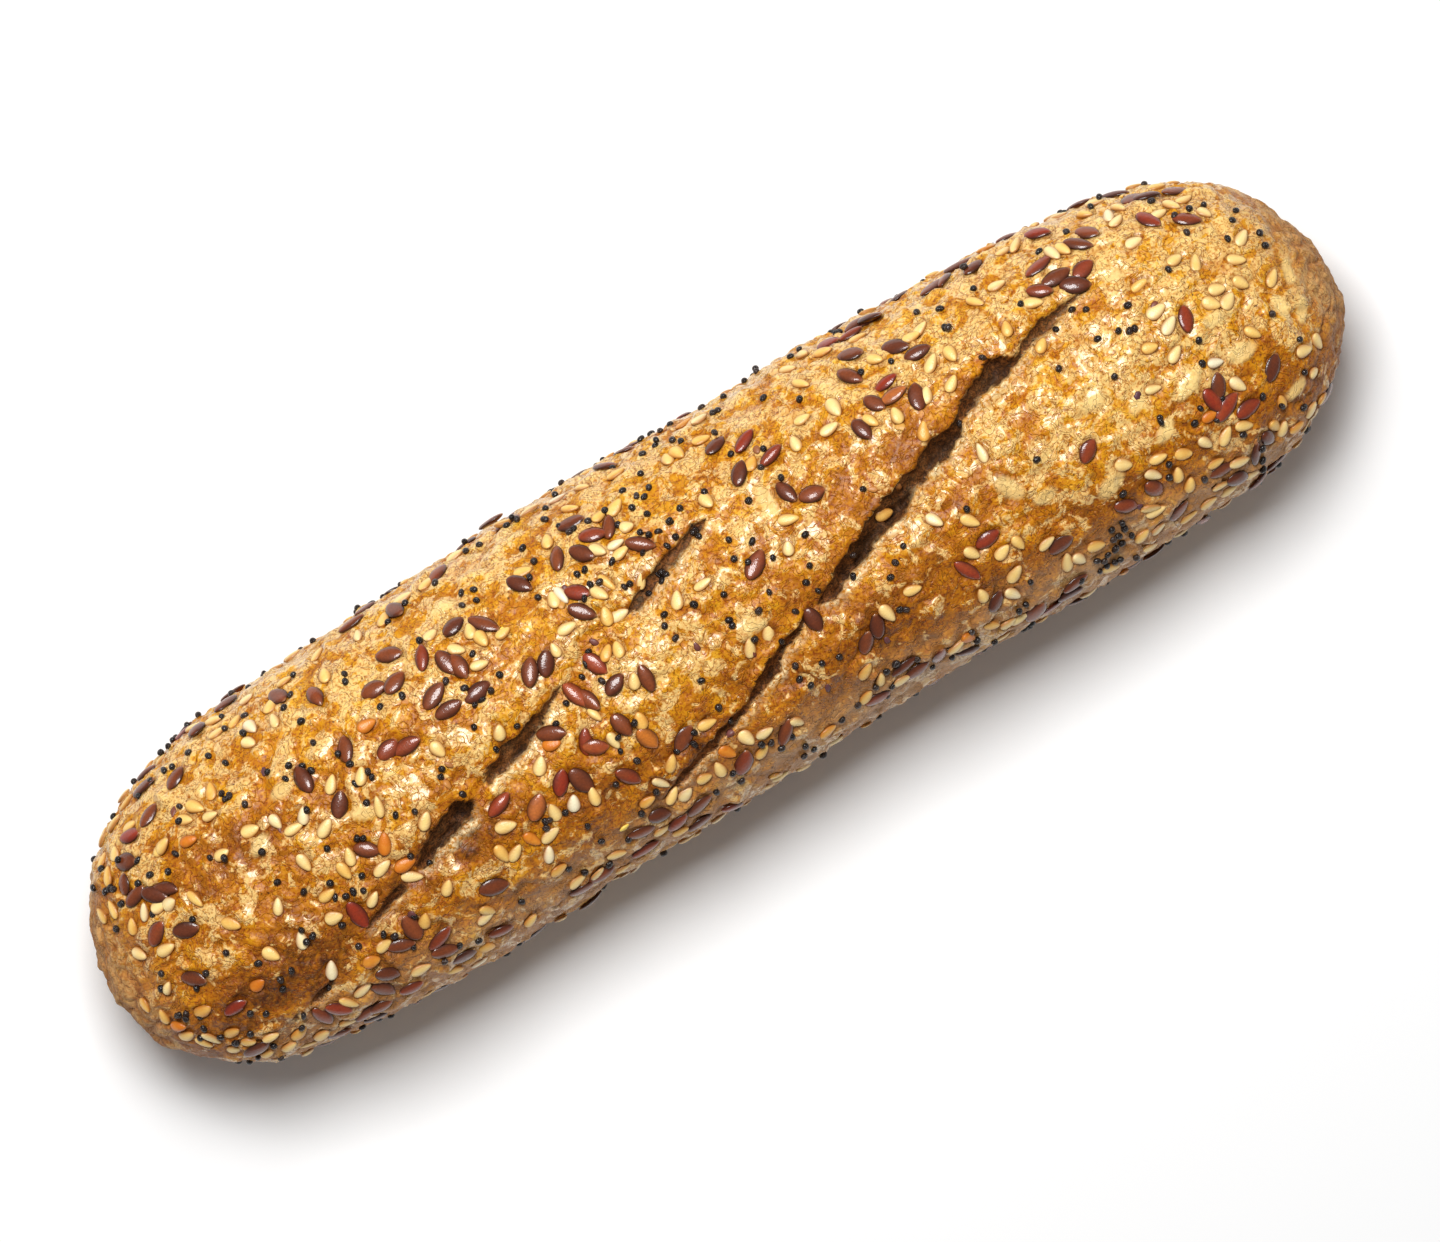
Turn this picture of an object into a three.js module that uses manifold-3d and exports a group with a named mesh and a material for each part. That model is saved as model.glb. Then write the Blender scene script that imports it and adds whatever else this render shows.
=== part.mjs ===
// A seeded demi-baguette: one baked loaf with two long slanting scores, and the
// flax, sesame and poppy seeds that stick to its crust.
// Millimetres. +X runs along the loaf, +Z is up, and the loaf lies on its flat base
// at z = 0, with the origin at the middle of its footprint.
import * as THREE from 'three';
import { mergeVertices, toCreasedNormals } from 'three/addons/utils/BufferGeometryUtils.js';
import Module from 'manifold-3d';

const wasm = await Module();
wasm.setup();

// ---- Driving dimensions -------------------------------------------------------

const LENGTH = 235; // tip to tip
const WIDTH = 58; // crust to crust, at the middle
const WAIST = 21; // height of the widest line above the base
const DOME = 25.5; // from the widest line up to the top of the crust
const KEEL = 26; // from the widest line down to where the round underside would end
const SECTION_POWER = 2.2; // 2 is an ellipse, more is squarer
const PLAN_POWER = 6.8; // how blunt the ends are, seen from above
const DOME_POWER = 5; // how blunt they are, seen from the side
const BOW = 2.4; // how far the ends curve towards -Y
const SLIMMING = 0.018; // the +X half is this much narrower than the mean
const BASE_BLEND = 2.5; // half the height over which the side rounds into the base

const SCORE_SLOPE = 20; // degrees between a score and the loaf's length
const VALLEY_DEPTH = 1.3; // the crust sinks this much towards a score
const VALLEY_REACH = 4.5; // and this far from it

const RING_STEP = 4.3; // between the loaf's cross-sections
const END_RINGS = 9; // cross-sections that close each end
const BODY_SHARE = 0.76; // share of the length with evenly spaced cross-sections
const SECTION_POINTS = 44; // points round a cross-section

const SEED_GAP = 0.3; // between a seed and the crust

// ---- The crust as a formula -----------------------------------------------------

const powered = (value, power) => Math.sign(value) * Math.abs(value) ** power;

// 1 along the body, falling to 0 at the tips.
const closing = (x, power) => Math.sqrt(Math.max(0, 1 - Math.abs((2 * x) / LENGTH) ** power));

const midline = (x) => (BOW / 4) - BOW * ((2 * x) / LENGTH) ** 2;

const halfWidth = (x) =>
  (WIDTH / 2) * closing(x, PLAN_POWER) * (1 - SLIMMING * Math.tanh((x - 12) / 12));

// The two scores run in parallel, from a start near the +Y side down towards -Y.
const SCORE_LINES = [
  { from: [82, 13.5], to: [-25, -22] },
  { from: [8.5, 13.6], to: [-92, -21] },
];

function distanceToScores(x, y) {
  const distances = SCORE_LINES.map(({ from, to }) => {
    const along = [to[0] - from[0], to[1] - from[1]];
    const length = Math.hypot(...along);
    const reach = ((x - from[0]) * along[0] + (y - from[1]) * along[1]) / length;
    const off = ((x - from[0]) * along[1] - (y - from[1]) * along[0]) / length;
    const beyond = Math.max(0, -reach, reach - length);
    return Math.hypot(off, beyond);
  });
  return Math.min(...distances);
}

const valley = (x, y) => VALLEY_DEPTH * Math.exp(-((distanceToScores(x, y) / VALLEY_REACH) ** 2));

// Rounds the side into the flat base, which is exactly at 0.
function restOnBase(z) {
  if (z >= BASE_BLEND) return z;
  if (z <= -BASE_BLEND) return 0;
  return (z + BASE_BLEND) ** 2 / (4 * BASE_BLEND);
}

// The point of the crust at x, at an angle round the section: 0 is +Y, 90 degrees is up.
function crustRound(x, angle) {
  const across = powered(Math.cos(angle), 2 / SECTION_POWER);
  const up = powered(Math.sin(angle), 2 / SECTION_POWER);
  const y = midline(x) + halfWidth(x) * across;
  if (up <= 0) {
    return new THREE.Vector3(x, y, restOnBase(WAIST + KEEL * closing(x, DOME_POWER) * up));
  }
  const z = WAIST + DOME * closing(x, DOME_POWER) * up - valley(x, y) * up ** 2;
  return new THREE.Vector3(x, y, z);
}

// The point of the upper crust above (x, y).
function crustAbove(x, y) {
  const across = THREE.MathUtils.clamp((y - midline(x)) / halfWidth(x), -1, 1);
  return crustRound(x, Math.acos(powered(across, SECTION_POWER / 2)));
}

// A frame on the crust above (x, y): its X axis lies `turn` degrees from the loaf's
// length, its Z axis stands out of the crust.
function frameOnCrust(x, y, turn = 0) {
  const step = 0.8;
  const alongX = crustAbove(x + step, y).sub(crustAbove(x - step, y));
  const alongY = crustAbove(x, y + step).sub(crustAbove(x, y - step));
  const out = new THREE.Vector3().crossVectors(alongX, alongY).normalize();
  const along = alongX.normalize().applyAxisAngle(out, THREE.MathUtils.degToRad(turn));
  const across = new THREE.Vector3().crossVectors(out, along);
  return new THREE.Matrix4().makeBasis(along, across, out).setPosition(crustAbove(x, y));
}

// ---- Closed meshes ----------------------------------------------------------------

// Skins a row of rings, each with the same number of points, between two end points.
function skin(firstTip, rings, lastTip) {
  const count = rings[0].length;
  const points = [firstTip, ...rings.flat(), lastTip];
  const faces = [];
  const at = (ring, k) => 1 + ring * count + (k % count);
  const last = points.length - 1;
  for (let k = 0; k < count; k += 1) {
    faces.push(0, at(0, k + 1), at(0, k));
    faces.push(last, at(rings.length - 1, k), at(rings.length - 1, k + 1));
    for (let ring = 0; ring + 1 < rings.length; ring += 1) {
      faces.push(at(ring, k), at(ring, k + 1), at(ring + 1, k));
      faces.push(at(ring, k + 1), at(ring + 1, k + 1), at(ring + 1, k));
    }
  }
  return new THREE.BufferGeometry().setFromPoints(points).setIndex(faces);
}

function solidOf(geometry) {
  const merged = mergeVertices(geometry);
  return new wasm.Manifold(
    new wasm.Mesh({
      numProp: 3,
      vertProperties: merged.attributes.position.array,
      triVerts: new Uint32Array(merged.index.array),
    }),
  );
}

function geometryOf(solid) {
  const { vertProperties, triVerts } = solid.getMesh();
  const geometry = new THREE.BufferGeometry();
  geometry.setAttribute('position', new THREE.BufferAttribute(vertProperties, 3));
  geometry.setIndex(new THREE.BufferAttribute(triVerts, 1));
  return toCreasedNormals(geometry, Math.PI / 5);
}

// ---- The loaf -----------------------------------------------------------------------

// Where the cross-sections stand: evenly along the body, then closer and closer
// towards each tip, as the plan's outline turns.
function ringPlaces() {
  const bodyEnd = (BODY_SHARE * LENGTH) / 2;
  const places = [];
  const bodyRings = Math.round((2 * bodyEnd) / RING_STEP);
  for (let i = 0; i <= bodyRings; i += 1) {
    places.push(-bodyEnd + (2 * bodyEnd * i) / bodyRings);
  }
  const start = Math.acos(closing(bodyEnd, PLAN_POWER));
  for (let i = 1; i <= END_RINGS; i += 1) {
    const turn = start + ((Math.PI / 2 - start) * i) / (END_RINGS + 1);
    const x = (LENGTH / 2) * Math.sin(turn) ** (2 / PLAN_POWER);
    places.push(x);
    places.unshift(-x);
  }
  return places;
}

function loafBody() {
  const rings = ringPlaces().map((x) =>
    Array.from({ length: SECTION_POINTS }, (_, k) =>
      crustRound(x, (2 * Math.PI * (k + 0.5)) / SECTION_POINTS),
    ),
  );
  const tip = (x) => new THREE.Vector3(x, midline(x), WAIST);
  return skin(tip(-LENGTH / 2), rings, tip(LENGTH / 2));
}

// Each score opened into a few gashes with bridges of crust between them.
// A gash is a route over the crust, seen from above, its width and its depth.
const GASHES = [
  { route: [[82, 13.2], [68, 10.8], [56, 8.4], [46, 4], [36, 0], [27, -3], [15.5, -7.8]], width: 4.6, depth: 4.5 },
  { route: [[13.5, -8.2], [6, -11.8], [0, -14.4], [-10, -17.8], [-24, -21.8]], width: 3.2, depth: 3.5 },
  { route: [[8.5, 13.3], [1, 11], [-6, 8.8], [-12.5, 6.7]], width: 3, depth: 3 },
  { route: [[-27, 2.8], [-33, 0.2], [-39, -2], [-46.5, -4.4]], width: 3.4, depth: 3.5 },
  { route: [[-49.5, -5.8], [-56, -8], [-63, -10.4]], width: 3.8, depth: 3.5 },
  { route: [[-65.5, -11.8], [-71, -13.4], [-77, -15.5]], width: 2.4, depth: 2.5 },
];
const GASH_STEPS = 16; // sections along a gash
const GASH_LEAN = 0.3; // its root lies this share of its width towards +Y
const BLADE_RISE = 1; // how far the cutting solid stands out of the crust

// The wedge that a gash takes out of the loaf.
function gashWedge({ route, width, depth }) {
  const path = new THREE.SplineCurve(route.map(([x, y]) => new THREE.Vector2(x, y)));
  const section = (share) => {
    const { x, y } = path.getPoint(share);
    const open = Math.sin(Math.PI * share) ** 0.6;
    const frame = frameOnCrust(x, y, SCORE_SLOPE);
    const corners = [
      new THREE.Vector3(0, (-width / 2) * open, BLADE_RISE),
      new THREE.Vector3(0, (width / 2) * open, BLADE_RISE),
      new THREE.Vector3(0, GASH_LEAN * width * open, -depth * open),
    ];
    return corners.map((corner) => corner.applyMatrix4(frame));
  };
  const rings = [];
  for (let i = 1; i < GASH_STEPS; i += 1) rings.push(section(i / GASH_STEPS));
  const tip = ([x, y]) => new THREE.Vector3(0, 0, BLADE_RISE / 2).applyMatrix4(frameOnCrust(x, y));
  return skin(tip(route[0]), rings, tip(route.at(-1)));
}

function makeLoaf() {
  const cuts = GASHES.map((gash) => solidOf(gashWedge(gash)));
  const body = cuts.reduce((rest, cut) => rest.subtract(cut), solidOf(loafBody()));
  const crust = new THREE.MeshStandardMaterial({ color: 0xc6893f, roughness: 0.55 });
  const loaf = new THREE.Mesh(geometryOf(body), crust);
  loaf.name = 'loaf';
  return loaf;
}

// ---- The seeds ------------------------------------------------------------------------

// taper narrows the +X end, hook draws its tip out.
const SEED_KINDS = {
  flax: { length: 4.8, width: 2.5, thickness: 1.2, taper: 0.16, hook: 0.12, color: 0x5a3222, roughness: 0.3 },
  sesame: { length: 3.35, width: 2.1, thickness: 1, taper: 0.26, hook: 0.05, color: 0xebcf8c, roughness: 0.45 },
  poppy: { length: 1.25, width: 1.1, thickness: 1, taper: 0, hook: 0, color: 0x231e26, roughness: 0.6 },
};

// Where the seeds lie, seen from above: [x, y, degrees from the loaf's length to the tip].
const SEED_PLACES = {
  flax: [
    [-104, 14.5, -20], [-100.5, 7.5, -30], [-105.5, 2, 30], [-97, 19, 50], [-101, 0, -20],
    [-71.5, 11, 93], [-63, 11.5, 75], [-57, 8, 15], [-68.5, 4.5, 50], [-68.5, -4, -40],
    [-75.5, -12, -85], [-69, -18.5, 95], [-49, 21, -28], [-50.5, 16.5, 30], [-44.5, 17.5, 65],
    [-46, 11.5, 28], [-37.5, 19.5, 20], [-33, 17.5, -50], [-17, 20.5, 70], [-17, 14, -40],
    [-30.5, 7, 60], [-26, 0, -72], [-19.5, -2, 22], [-28.5, -7.5, 65], [-22, -8, -75],
    [-14.5, -15, 35], [16, 17, 55], [22, 17, 18], [21, 10.5, -75], [37, 12.5, -75],
    [41, 15, -62], [76, 20, 10], [83.5, 20, -50], [92, 1, 65], [19.5, -17, 58], [91, -11, 65],
  ],
  sesame: [
    [-98, 13.5, 25], [-83.5, 8.5, -10], [-72.5, 2.5, 30], [-94, -3, -40], [-60.5, -16, 45],
    [-41.5, -17.5, 15], [-31, 14.5, 10], [-16, 2.5, 80], [-37, -7, 50], [-10, -15, -10],
    [16.5, 2.5, 65], [30.5, -13.5, -10], [39.5, -6, -60], [29.5, 19, 0], [66, 14.5, 70],
    [90.5, 21.5, 60], [100.5, -6.5, -50],
  ],
  poppy: [
    [-84.5, 15, 0], [-61.5, 5.5, 60], [-7, -0.5, 20], [8, 5.5, 0], [70, 4.5, 40], [85, 7.5, 0],
  ],
};
const SEED_SIDES = 10; // faces round a seed
const SEED_RINGS = 6; // from end to end

function seedGeometry({ length, width, thickness, taper, hook }) {
  const geometry = new THREE.SphereGeometry(1, SEED_SIDES, SEED_RINGS);
  geometry.rotateZ(-Math.PI / 2); // the poles become the two ends
  const points = geometry.getAttribute('position');
  for (let i = 0; i < points.count; i += 1) {
    const x = points.getX(i);
    const girth = 1 - taper * x;
    points.setXYZ(
      i,
      (length / 2) * (x + hook * Math.max(0, x) ** 3) / (1 + hook / 2),
      (width / 2) * points.getY(i) * girth,
      (thickness / 2) * points.getZ(i) * girth,
    );
  }
  geometry.computeVertexNormals();
  return geometry;
}

function makeSeeds(kind) {
  const { thickness, taper, color, roughness } = SEED_KINDS[kind];
  const geometry = seedGeometry(SEED_KINDS[kind]);
  const material = new THREE.MeshStandardMaterial({ color, roughness });
  const fattest = (thickness / 2) * (1 + taper / 2);
  return SEED_PLACES[kind].map(([x, y, turn], i) => {
    const seed = new THREE.Mesh(geometry, material);
    seed.name = `${kind}_seed_${String(i + 1).padStart(2, '0')}`;
    const place = frameOnCrust(x, y, turn);
    place.multiply(new THREE.Matrix4().makeTranslation(0, 0, SEED_GAP + fattest));
    seed.applyMatrix4(place);
    return seed;
  });
}

// ---- The baguette -----------------------------------------------------------------------

const baguette = new THREE.Group();
baguette.add(makeLoaf());
for (const kind of Object.keys(SEED_KINDS)) baguette.add(...makeSeeds(kind));

// The origin comes to the middle of the footprint.
const middle = new THREE.Box3().setFromObject(baguette, true).getCenter(new THREE.Vector3());
baguette.position.set(-middle.x, -middle.y, 0);

export default baguette;
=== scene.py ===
"""The looks of a seeded demi-baguette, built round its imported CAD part.

The crust is a fine skin that follows the loaf's own formula, with the two scores, creases and dimples in it.
The flax, sesame and poppy seeds lie on that skin. Lengths are millimetres in the loaf's own frame until a
mesh is made: +X runs along the loaf, +Z is up, and the base is at z = 0.
"""

import itertools
import math

import bpy
import numpy as np
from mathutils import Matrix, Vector
from mathutils.bvhtree import BVHTree


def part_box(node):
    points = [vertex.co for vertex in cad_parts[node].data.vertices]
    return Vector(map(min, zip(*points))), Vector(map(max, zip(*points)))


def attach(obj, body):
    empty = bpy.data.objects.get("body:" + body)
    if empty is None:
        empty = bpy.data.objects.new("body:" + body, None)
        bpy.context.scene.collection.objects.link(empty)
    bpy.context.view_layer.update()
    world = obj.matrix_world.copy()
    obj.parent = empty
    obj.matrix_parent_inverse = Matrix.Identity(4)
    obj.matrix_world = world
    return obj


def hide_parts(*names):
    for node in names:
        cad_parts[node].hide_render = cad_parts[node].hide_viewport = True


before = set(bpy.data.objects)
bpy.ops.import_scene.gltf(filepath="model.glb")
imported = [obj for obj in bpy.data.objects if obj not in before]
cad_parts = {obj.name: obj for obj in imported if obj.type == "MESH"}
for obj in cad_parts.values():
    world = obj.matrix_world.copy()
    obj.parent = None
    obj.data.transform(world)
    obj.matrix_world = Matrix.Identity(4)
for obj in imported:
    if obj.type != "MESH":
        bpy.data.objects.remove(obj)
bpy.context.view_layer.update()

MM = 0.001  # a millimetre, in the scene's metres

# ---- The loaf's formula, as in the CAD part ------------------------------------------------------

LENGTH = 235
WIDTH = 58
WAIST = 21
DOME = 25.5
KEEL = 26
SECTION_POWER = 2.2
PLAN_POWER = 6.8
DOME_POWER = 5
BOW = 2.4
SLIMMING = 0.018
BASE_BLEND = 2.5
VALLEY_DEPTH = 1.3
VALLEY_REACH = 4.5
SCORE_SLOPE = 20
SCORE_LINES = (((82, 13.5), (-25, -22)), ((8.5, 13.6), (-92, -21)))
OUTERMOST = 0.992  # share of the half width beyond which nothing is placed from above


def powered(value, power):
    return np.sign(value) * np.abs(value) ** power


def closing(x, power):
    """1 along the body, falling to 0 at the tips."""
    return np.sqrt(np.clip(1 - np.abs(2 * x / LENGTH) ** power, 0, None))


def midline(x):
    return BOW / 4 - BOW * (2 * x / LENGTH) ** 2


def half_width(x):
    return WIDTH / 2 * closing(x, PLAN_POWER) * (1 - SLIMMING * np.tanh((x - 12) / 12))


def along_score(x, y, line):
    """Distance along a score from its start, distance off it towards +Y, and the score's length."""
    start, end = (np.array(p, float) for p in line)
    length = np.hypot(*(end - start))
    ax, ay = (end - start) / length
    dx, dy = x - start[0], y - start[1]
    return dx * ax + dy * ay, dx * ay - dy * ax, length


def valley(x, y):
    nearest = np.full(np.shape(x), np.inf)
    for line in SCORE_LINES:
        along, off, length = along_score(x, y, line)
        beyond = np.maximum(0, np.maximum(-along, along - length))
        nearest = np.minimum(nearest, np.hypot(off, beyond))
    return VALLEY_DEPTH * np.exp(-((nearest / VALLEY_REACH) ** 2))


def crust_round(x, angle):
    """The smooth crust at x, at an angle round the section: 0 is +Y, a right angle is up."""
    x, angle = np.broadcast_arrays(np.asarray(x, float), np.asarray(angle, float))
    across = powered(np.cos(angle), 2 / SECTION_POWER)
    up = powered(np.sin(angle), 2 / SECTION_POWER)
    y = midline(x) + half_width(x) * across
    dome = WAIST + DOME * closing(x, DOME_POWER) * up - valley(x, y) * up**2
    keel = WAIST + KEEL * closing(x, DOME_POWER) * up
    blend = np.clip(keel + BASE_BLEND, 0, 2 * BASE_BLEND) ** 2 / (4 * BASE_BLEND)
    low = np.where(keel >= BASE_BLEND, keel, blend)
    return np.stack([x, y, np.where(up > 0, dome, low)], axis=-1)


def angle_above(x, y):
    """The angle round the section of the crust above (x, y)."""
    across = np.clip((y - midline(x)) / half_width(x), -OUTERMOST, OUTERMOST)
    return np.arccos(powered(across, SECTION_POWER / 2))


def unit(vectors):
    return vectors / np.maximum(np.linalg.norm(vectors, axis=-1, keepdims=True), 1e-9)


def crust_normal(x, angle):
    """The outward direction of the smooth crust."""
    step, turn = 0.6, 0.03
    along = crust_round(x + step, angle) - crust_round(x - step, angle)
    around = crust_round(x, angle + turn) - crust_round(x, angle - turn)
    return unit(np.cross(around, along))


# ---- Seeded noise over points in millimetres -----------------------------------------------------


def cell_value(cell, seed):
    """A repeatable number from 0 to 1 for each whole-number cell."""
    mixed = cell[..., 0] * 73856093 ^ cell[..., 1] * 19349663 ^ cell[..., 2] * 83492791 ^ seed * 40503
    mixed = (mixed ^ mixed >> 13) * 1274126177
    mixed = (mixed ^ mixed >> 16) * 668265263
    return (mixed >> 7 & 0xFFFFF) / 0xFFFFF


def cell_vector(cell, seed):
    return np.stack([cell_value(cell, seed * 3 + k) for k in range(3)], axis=-1)


def soft_noise(points, size, seed):
    """Smooth noise, about -1 to 1, with features about `size` across."""
    scaled = points / size
    cell = np.floor(scaled).astype(np.int64)
    part = scaled - cell
    ease = part**3 * (part * (part * 6 - 15) + 10)
    total = 0
    for corner in itertools.product((0, 1), repeat=3):
        corner = np.array(corner)
        weight = np.prod(np.where(corner, ease, 1 - ease), axis=-1)
        slope = 2 * cell_vector(cell + corner, seed) - 1
        total = total + weight * np.sum(slope * (part - corner), axis=-1)
    return 1.6 * total


def layered_noise(points, size, seed, layers=3, fall=0.55):
    total, weight, share = 0, 0, 1
    for k in range(layers):
        total = total + share * soft_noise(points + 17.3 * k, size / 2**k, seed + k)
        weight += share
        share *= fall
    return total / weight


def scattered_cells(points, size, seed):
    """Distance to the nearest scattered centre, how much farther the next is, and the cell's own number."""
    scaled = points / size
    cell = np.floor(scaled).astype(np.int64)
    first = np.full(points.shape[:-1], 9.0)
    second = first.copy()
    own = first.copy()
    for step in itertools.product((-1, 0, 1), repeat=3):
        there = cell + np.array(step)
        reach = np.linalg.norm(there + cell_vector(there, seed) - scaled, axis=-1)
        second = np.minimum(second, np.maximum(first, reach))
        own = np.where(reach < first, cell_value(there, seed + 99), own)
        first = np.minimum(first, reach)
    return first, second - first, own


def ramp(value, low, high):
    """0 below `low`, 1 above `high`, smooth between; `low` may be the larger."""
    share = np.clip((value - low) / (high - low), 0, 1)
    return share * share * (3 - 2 * share)


def spots(x, y, places):
    """The sum of soft spots, each given by its x and y, its reach along x and y, and its weight."""
    total = 0
    for at_x, at_y, reach_x, reach_y, weight in places:
        total = total + weight * np.exp(-(((x - at_x) / reach_x) ** 2) - ((y - at_y) / reach_y) ** 2)
    return total


# ---- The two scores ---------------------------------------------------------------------------------

# Each score tears open in pockets, with bridges of crust between. A pocket is the index of its score, its
# upper edge (towards +Y) and its lower edge, both from one tip to the other, how deep it is for its width,
# and where it is deepest: 0 is the lower edge and 1 the upper.
POCKETS = (
    (
        0,
        (
            (82.5, 13.2), (81, 13.9), (74.7, 14), (70, 13.3), (67.8, 12.2), (65.5, 10.9), (63.9, 11.1),
            (60.8, 12.3), (57.8, 10.9), (52.5, 8.6), (52, 7.6), (49.7, 6.3), (45.6, 6.2), (43, 4.8),
            (40, 3.6), (36, 2.6), (29.4, 0.3), (25, -1.6), (20.6, -4.1), (16.4, -6.6), (15.2, -7.7),
        ),
        (
            (82.5, 13.2), (77, 12.4), (72.8, 11.3), (67.8, 9.8), (65, 8.6), (60.8, 7.6), (57.2, 7),
            (52, 5.3), (50.6, 2.8), (45.6, 1.2), (40, 0.4), (36, -2.9), (30.5, -3.6), (27.2, -5.5),
            (22.2, -7.2), (17.8, -8.9), (15.2, -7.7),
        ),
        1.0,
        0.26,
    ),
    (
        0,
        (
            (14, -8.3), (12.5, -7.7), (9.2, -9.1), (5.6, -10.4), (1.7, -11.9), (0.3, -13.4), (-2.5, -15.1),
            (-9.4, -16.6), (-15, -18.3), (-20, -20), (-24.6, -22.1),
        ),
        (
            (14, -8.3), (12.5, -9.3), (11.1, -10.5), (6.9, -12.1), (5, -14.1), (1.4, -15.6), (-6.7, -18.2),
            (-13.3, -19.9), (-18.9, -21.3), (-24.6, -22.1),
        ),
        1.2,
        0.25,
    ),
    (
        1,
        ((8.8, 13.5), (5, 14), (0, 12.7), (-6, 10.6), (-10, 8.8), (-12.7, 6.8)),
        ((8.8, 13.5), (5, 11.4), (0, 9.7), (-6, 7.6), (-10, 6.2), (-12.7, 6.8)),
        0.8,
        0.3,
    ),
    (
        1,
        ((-26.8, 2.6), (-27.5, 3.1), (-31.7, 1.7), (-35.8, 0.6), (-40, -0.5), (-44.4, -1.9), (-47, -4.3)),
        ((-26.8, 2.6), (-32.2, -1.3), (-35.8, -3), (-41, -4.4), (-45.3, -5.8), (-47, -4.3)),
        1.0,
        0.2,
    ),
    (
        1,
        ((-49, -5.8), (-52.2, -4.3), (-56.4, -5.8), (-60.6, -7.7), (-63, -9.9), (-63.6, -11)),
        ((-49, -5.8), (-49.7, -8), (-55, -9.9), (-60.6, -11.2), (-62, -11.8), (-63.6, -11)),
        1.0,
        0.3,
    ),
    (
        1,
        ((-65.7, -11.6), (-66.7, -11), (-69.4, -11.6), (-73.6, -13.4), (-77, -15.4)),
        ((-65.7, -11.6), (-66.4, -13), (-70.3, -14.5), (-74.4, -15.2), (-77, -15.4)),
        1.0,
        0.25,
    ),
    (
        1,
        ((-84, -18.3), (-86.5, -18.6), (-89, -19.6), (-91, -20.8)),
        ((-84, -18.3), (-85, -20.2), (-88, -20.9), (-91, -20.8)),
        1.0,
        0.25,
    ),
    (
        1,
        ((-91.6, -20.2), (-93.5, -20.6), (-96, -21.8)),
        ((-91.6, -20.2), (-93, -21.9), (-96, -21.8)),
        0.5,
        0.4,
    ),
)
DEEPEST = 4.2  # the most that a pocket is cut, before its floor's roughness
LOWER_SWAY = 1.5  # the lower edge is this much more ragged than the upper


def raggedness(points):
    """How far the torn edges wander."""
    return 0.45 * soft_noise(points, 3.1, 41) + 0.5 * soft_noise(points, 1.4, 42)


def pocket_edge(edge, score):
    """An edge as distances along and off its score, in order along it."""
    along, off, _ = along_score(*np.array(edge, float).T, SCORE_LINES[score])
    order = np.argsort(along)
    return along[order], off[order]


def score_shape(points):
    """How deep the scores cut at each point, how high their lips stand, how far the upper lip leans over, how
    near a point is to a torn lower edge, and how the crust round the scores swells or dips."""
    x, y = points[..., 0], points[..., 1]
    depth, lip, lean, fringe, broad = (np.zeros(x.shape) for _ in range(5))
    ragged = raggedness(points)
    inner = soft_noise(points, 1.9, 43) + 0.6 * soft_noise(points, 0.9, 44)
    for score, upper, lower, steepness, bottom in POCKETS:
        along, off, _ = along_score(x, y, SCORE_LINES[score])
        upper_edge, lower_edge = pocket_edge(upper, score), pocket_edge(lower, score)
        first, last = upper_edge[0][0], upper_edge[0][-1]
        high = np.interp(along, *upper_edge)
        low = np.interp(along, *lower_edge)
        width = np.maximum(high - low, 0.01)
        ends = ramp(along, first - 0.2, first + 1.4) * ramp(along, last + 0.2, last - 1.4)
        high = high + ragged * np.minimum(1, width / 3)
        low = low + LOWER_SWAY * ragged * np.minimum(1, width / 3)
        share = np.clip((off - low) / np.maximum(high - low, 0.4), 0, 1)
        share = share + 0.6 * share * (1 - share) * inner
        rising = np.clip(share / bottom, 0, 1)
        falling = np.clip((high - off - 0.12) / np.maximum((high - low) * (1 - bottom), 0.3), 0, 1)
        rise = 0.75 * ramp(rising, 0.0, 0.5) + 0.25 * ramp(rising, 0.5, 1)
        profile = np.where(share < bottom, rise, 1) * falling**0.45 * (1 + 0.25 * inner)
        here = np.minimum(DEEPEST, steepness * width) * profile * ends
        depth = np.maximum(depth, here)
        size = ends * np.minimum(1, width / 3.5)
        above, below = off - high, low - off
        over = np.where(above > -0.15, np.exp(-((np.maximum(above, 0) / 1.4) ** 2)), 0)
        under = np.where(below > -0.15, np.exp(-((np.maximum(below, 0) / 1.5) ** 2)), 0)
        swell = np.where(above > -0.15, np.exp(-(((above - 2.2) / 3.2) ** 2)), 0)
        dip = np.where(below > -0.15, np.exp(-((np.maximum(below, 0) / 3.6) ** 2)), 0)
        lip = np.maximum(lip, size * (0.36 * over + 0.2 * under))
        stronger = np.abs(size * (swell - dip)) > np.abs(broad)
        broad = np.where(stronger, size * (0.38 * swell - 0.75 * dip), broad)
        lean = np.maximum(lean, size * over**2)
        fringe = np.maximum(fringe, size * ramp(below, 2.0, 0.2) * ramp(below, -0.5, -0.1))
    return depth, lip, lean, fringe, broad


# ---- Where seeds lie, seen from above: x, y and degrees from the loaf's length to the tip -----------

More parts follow.
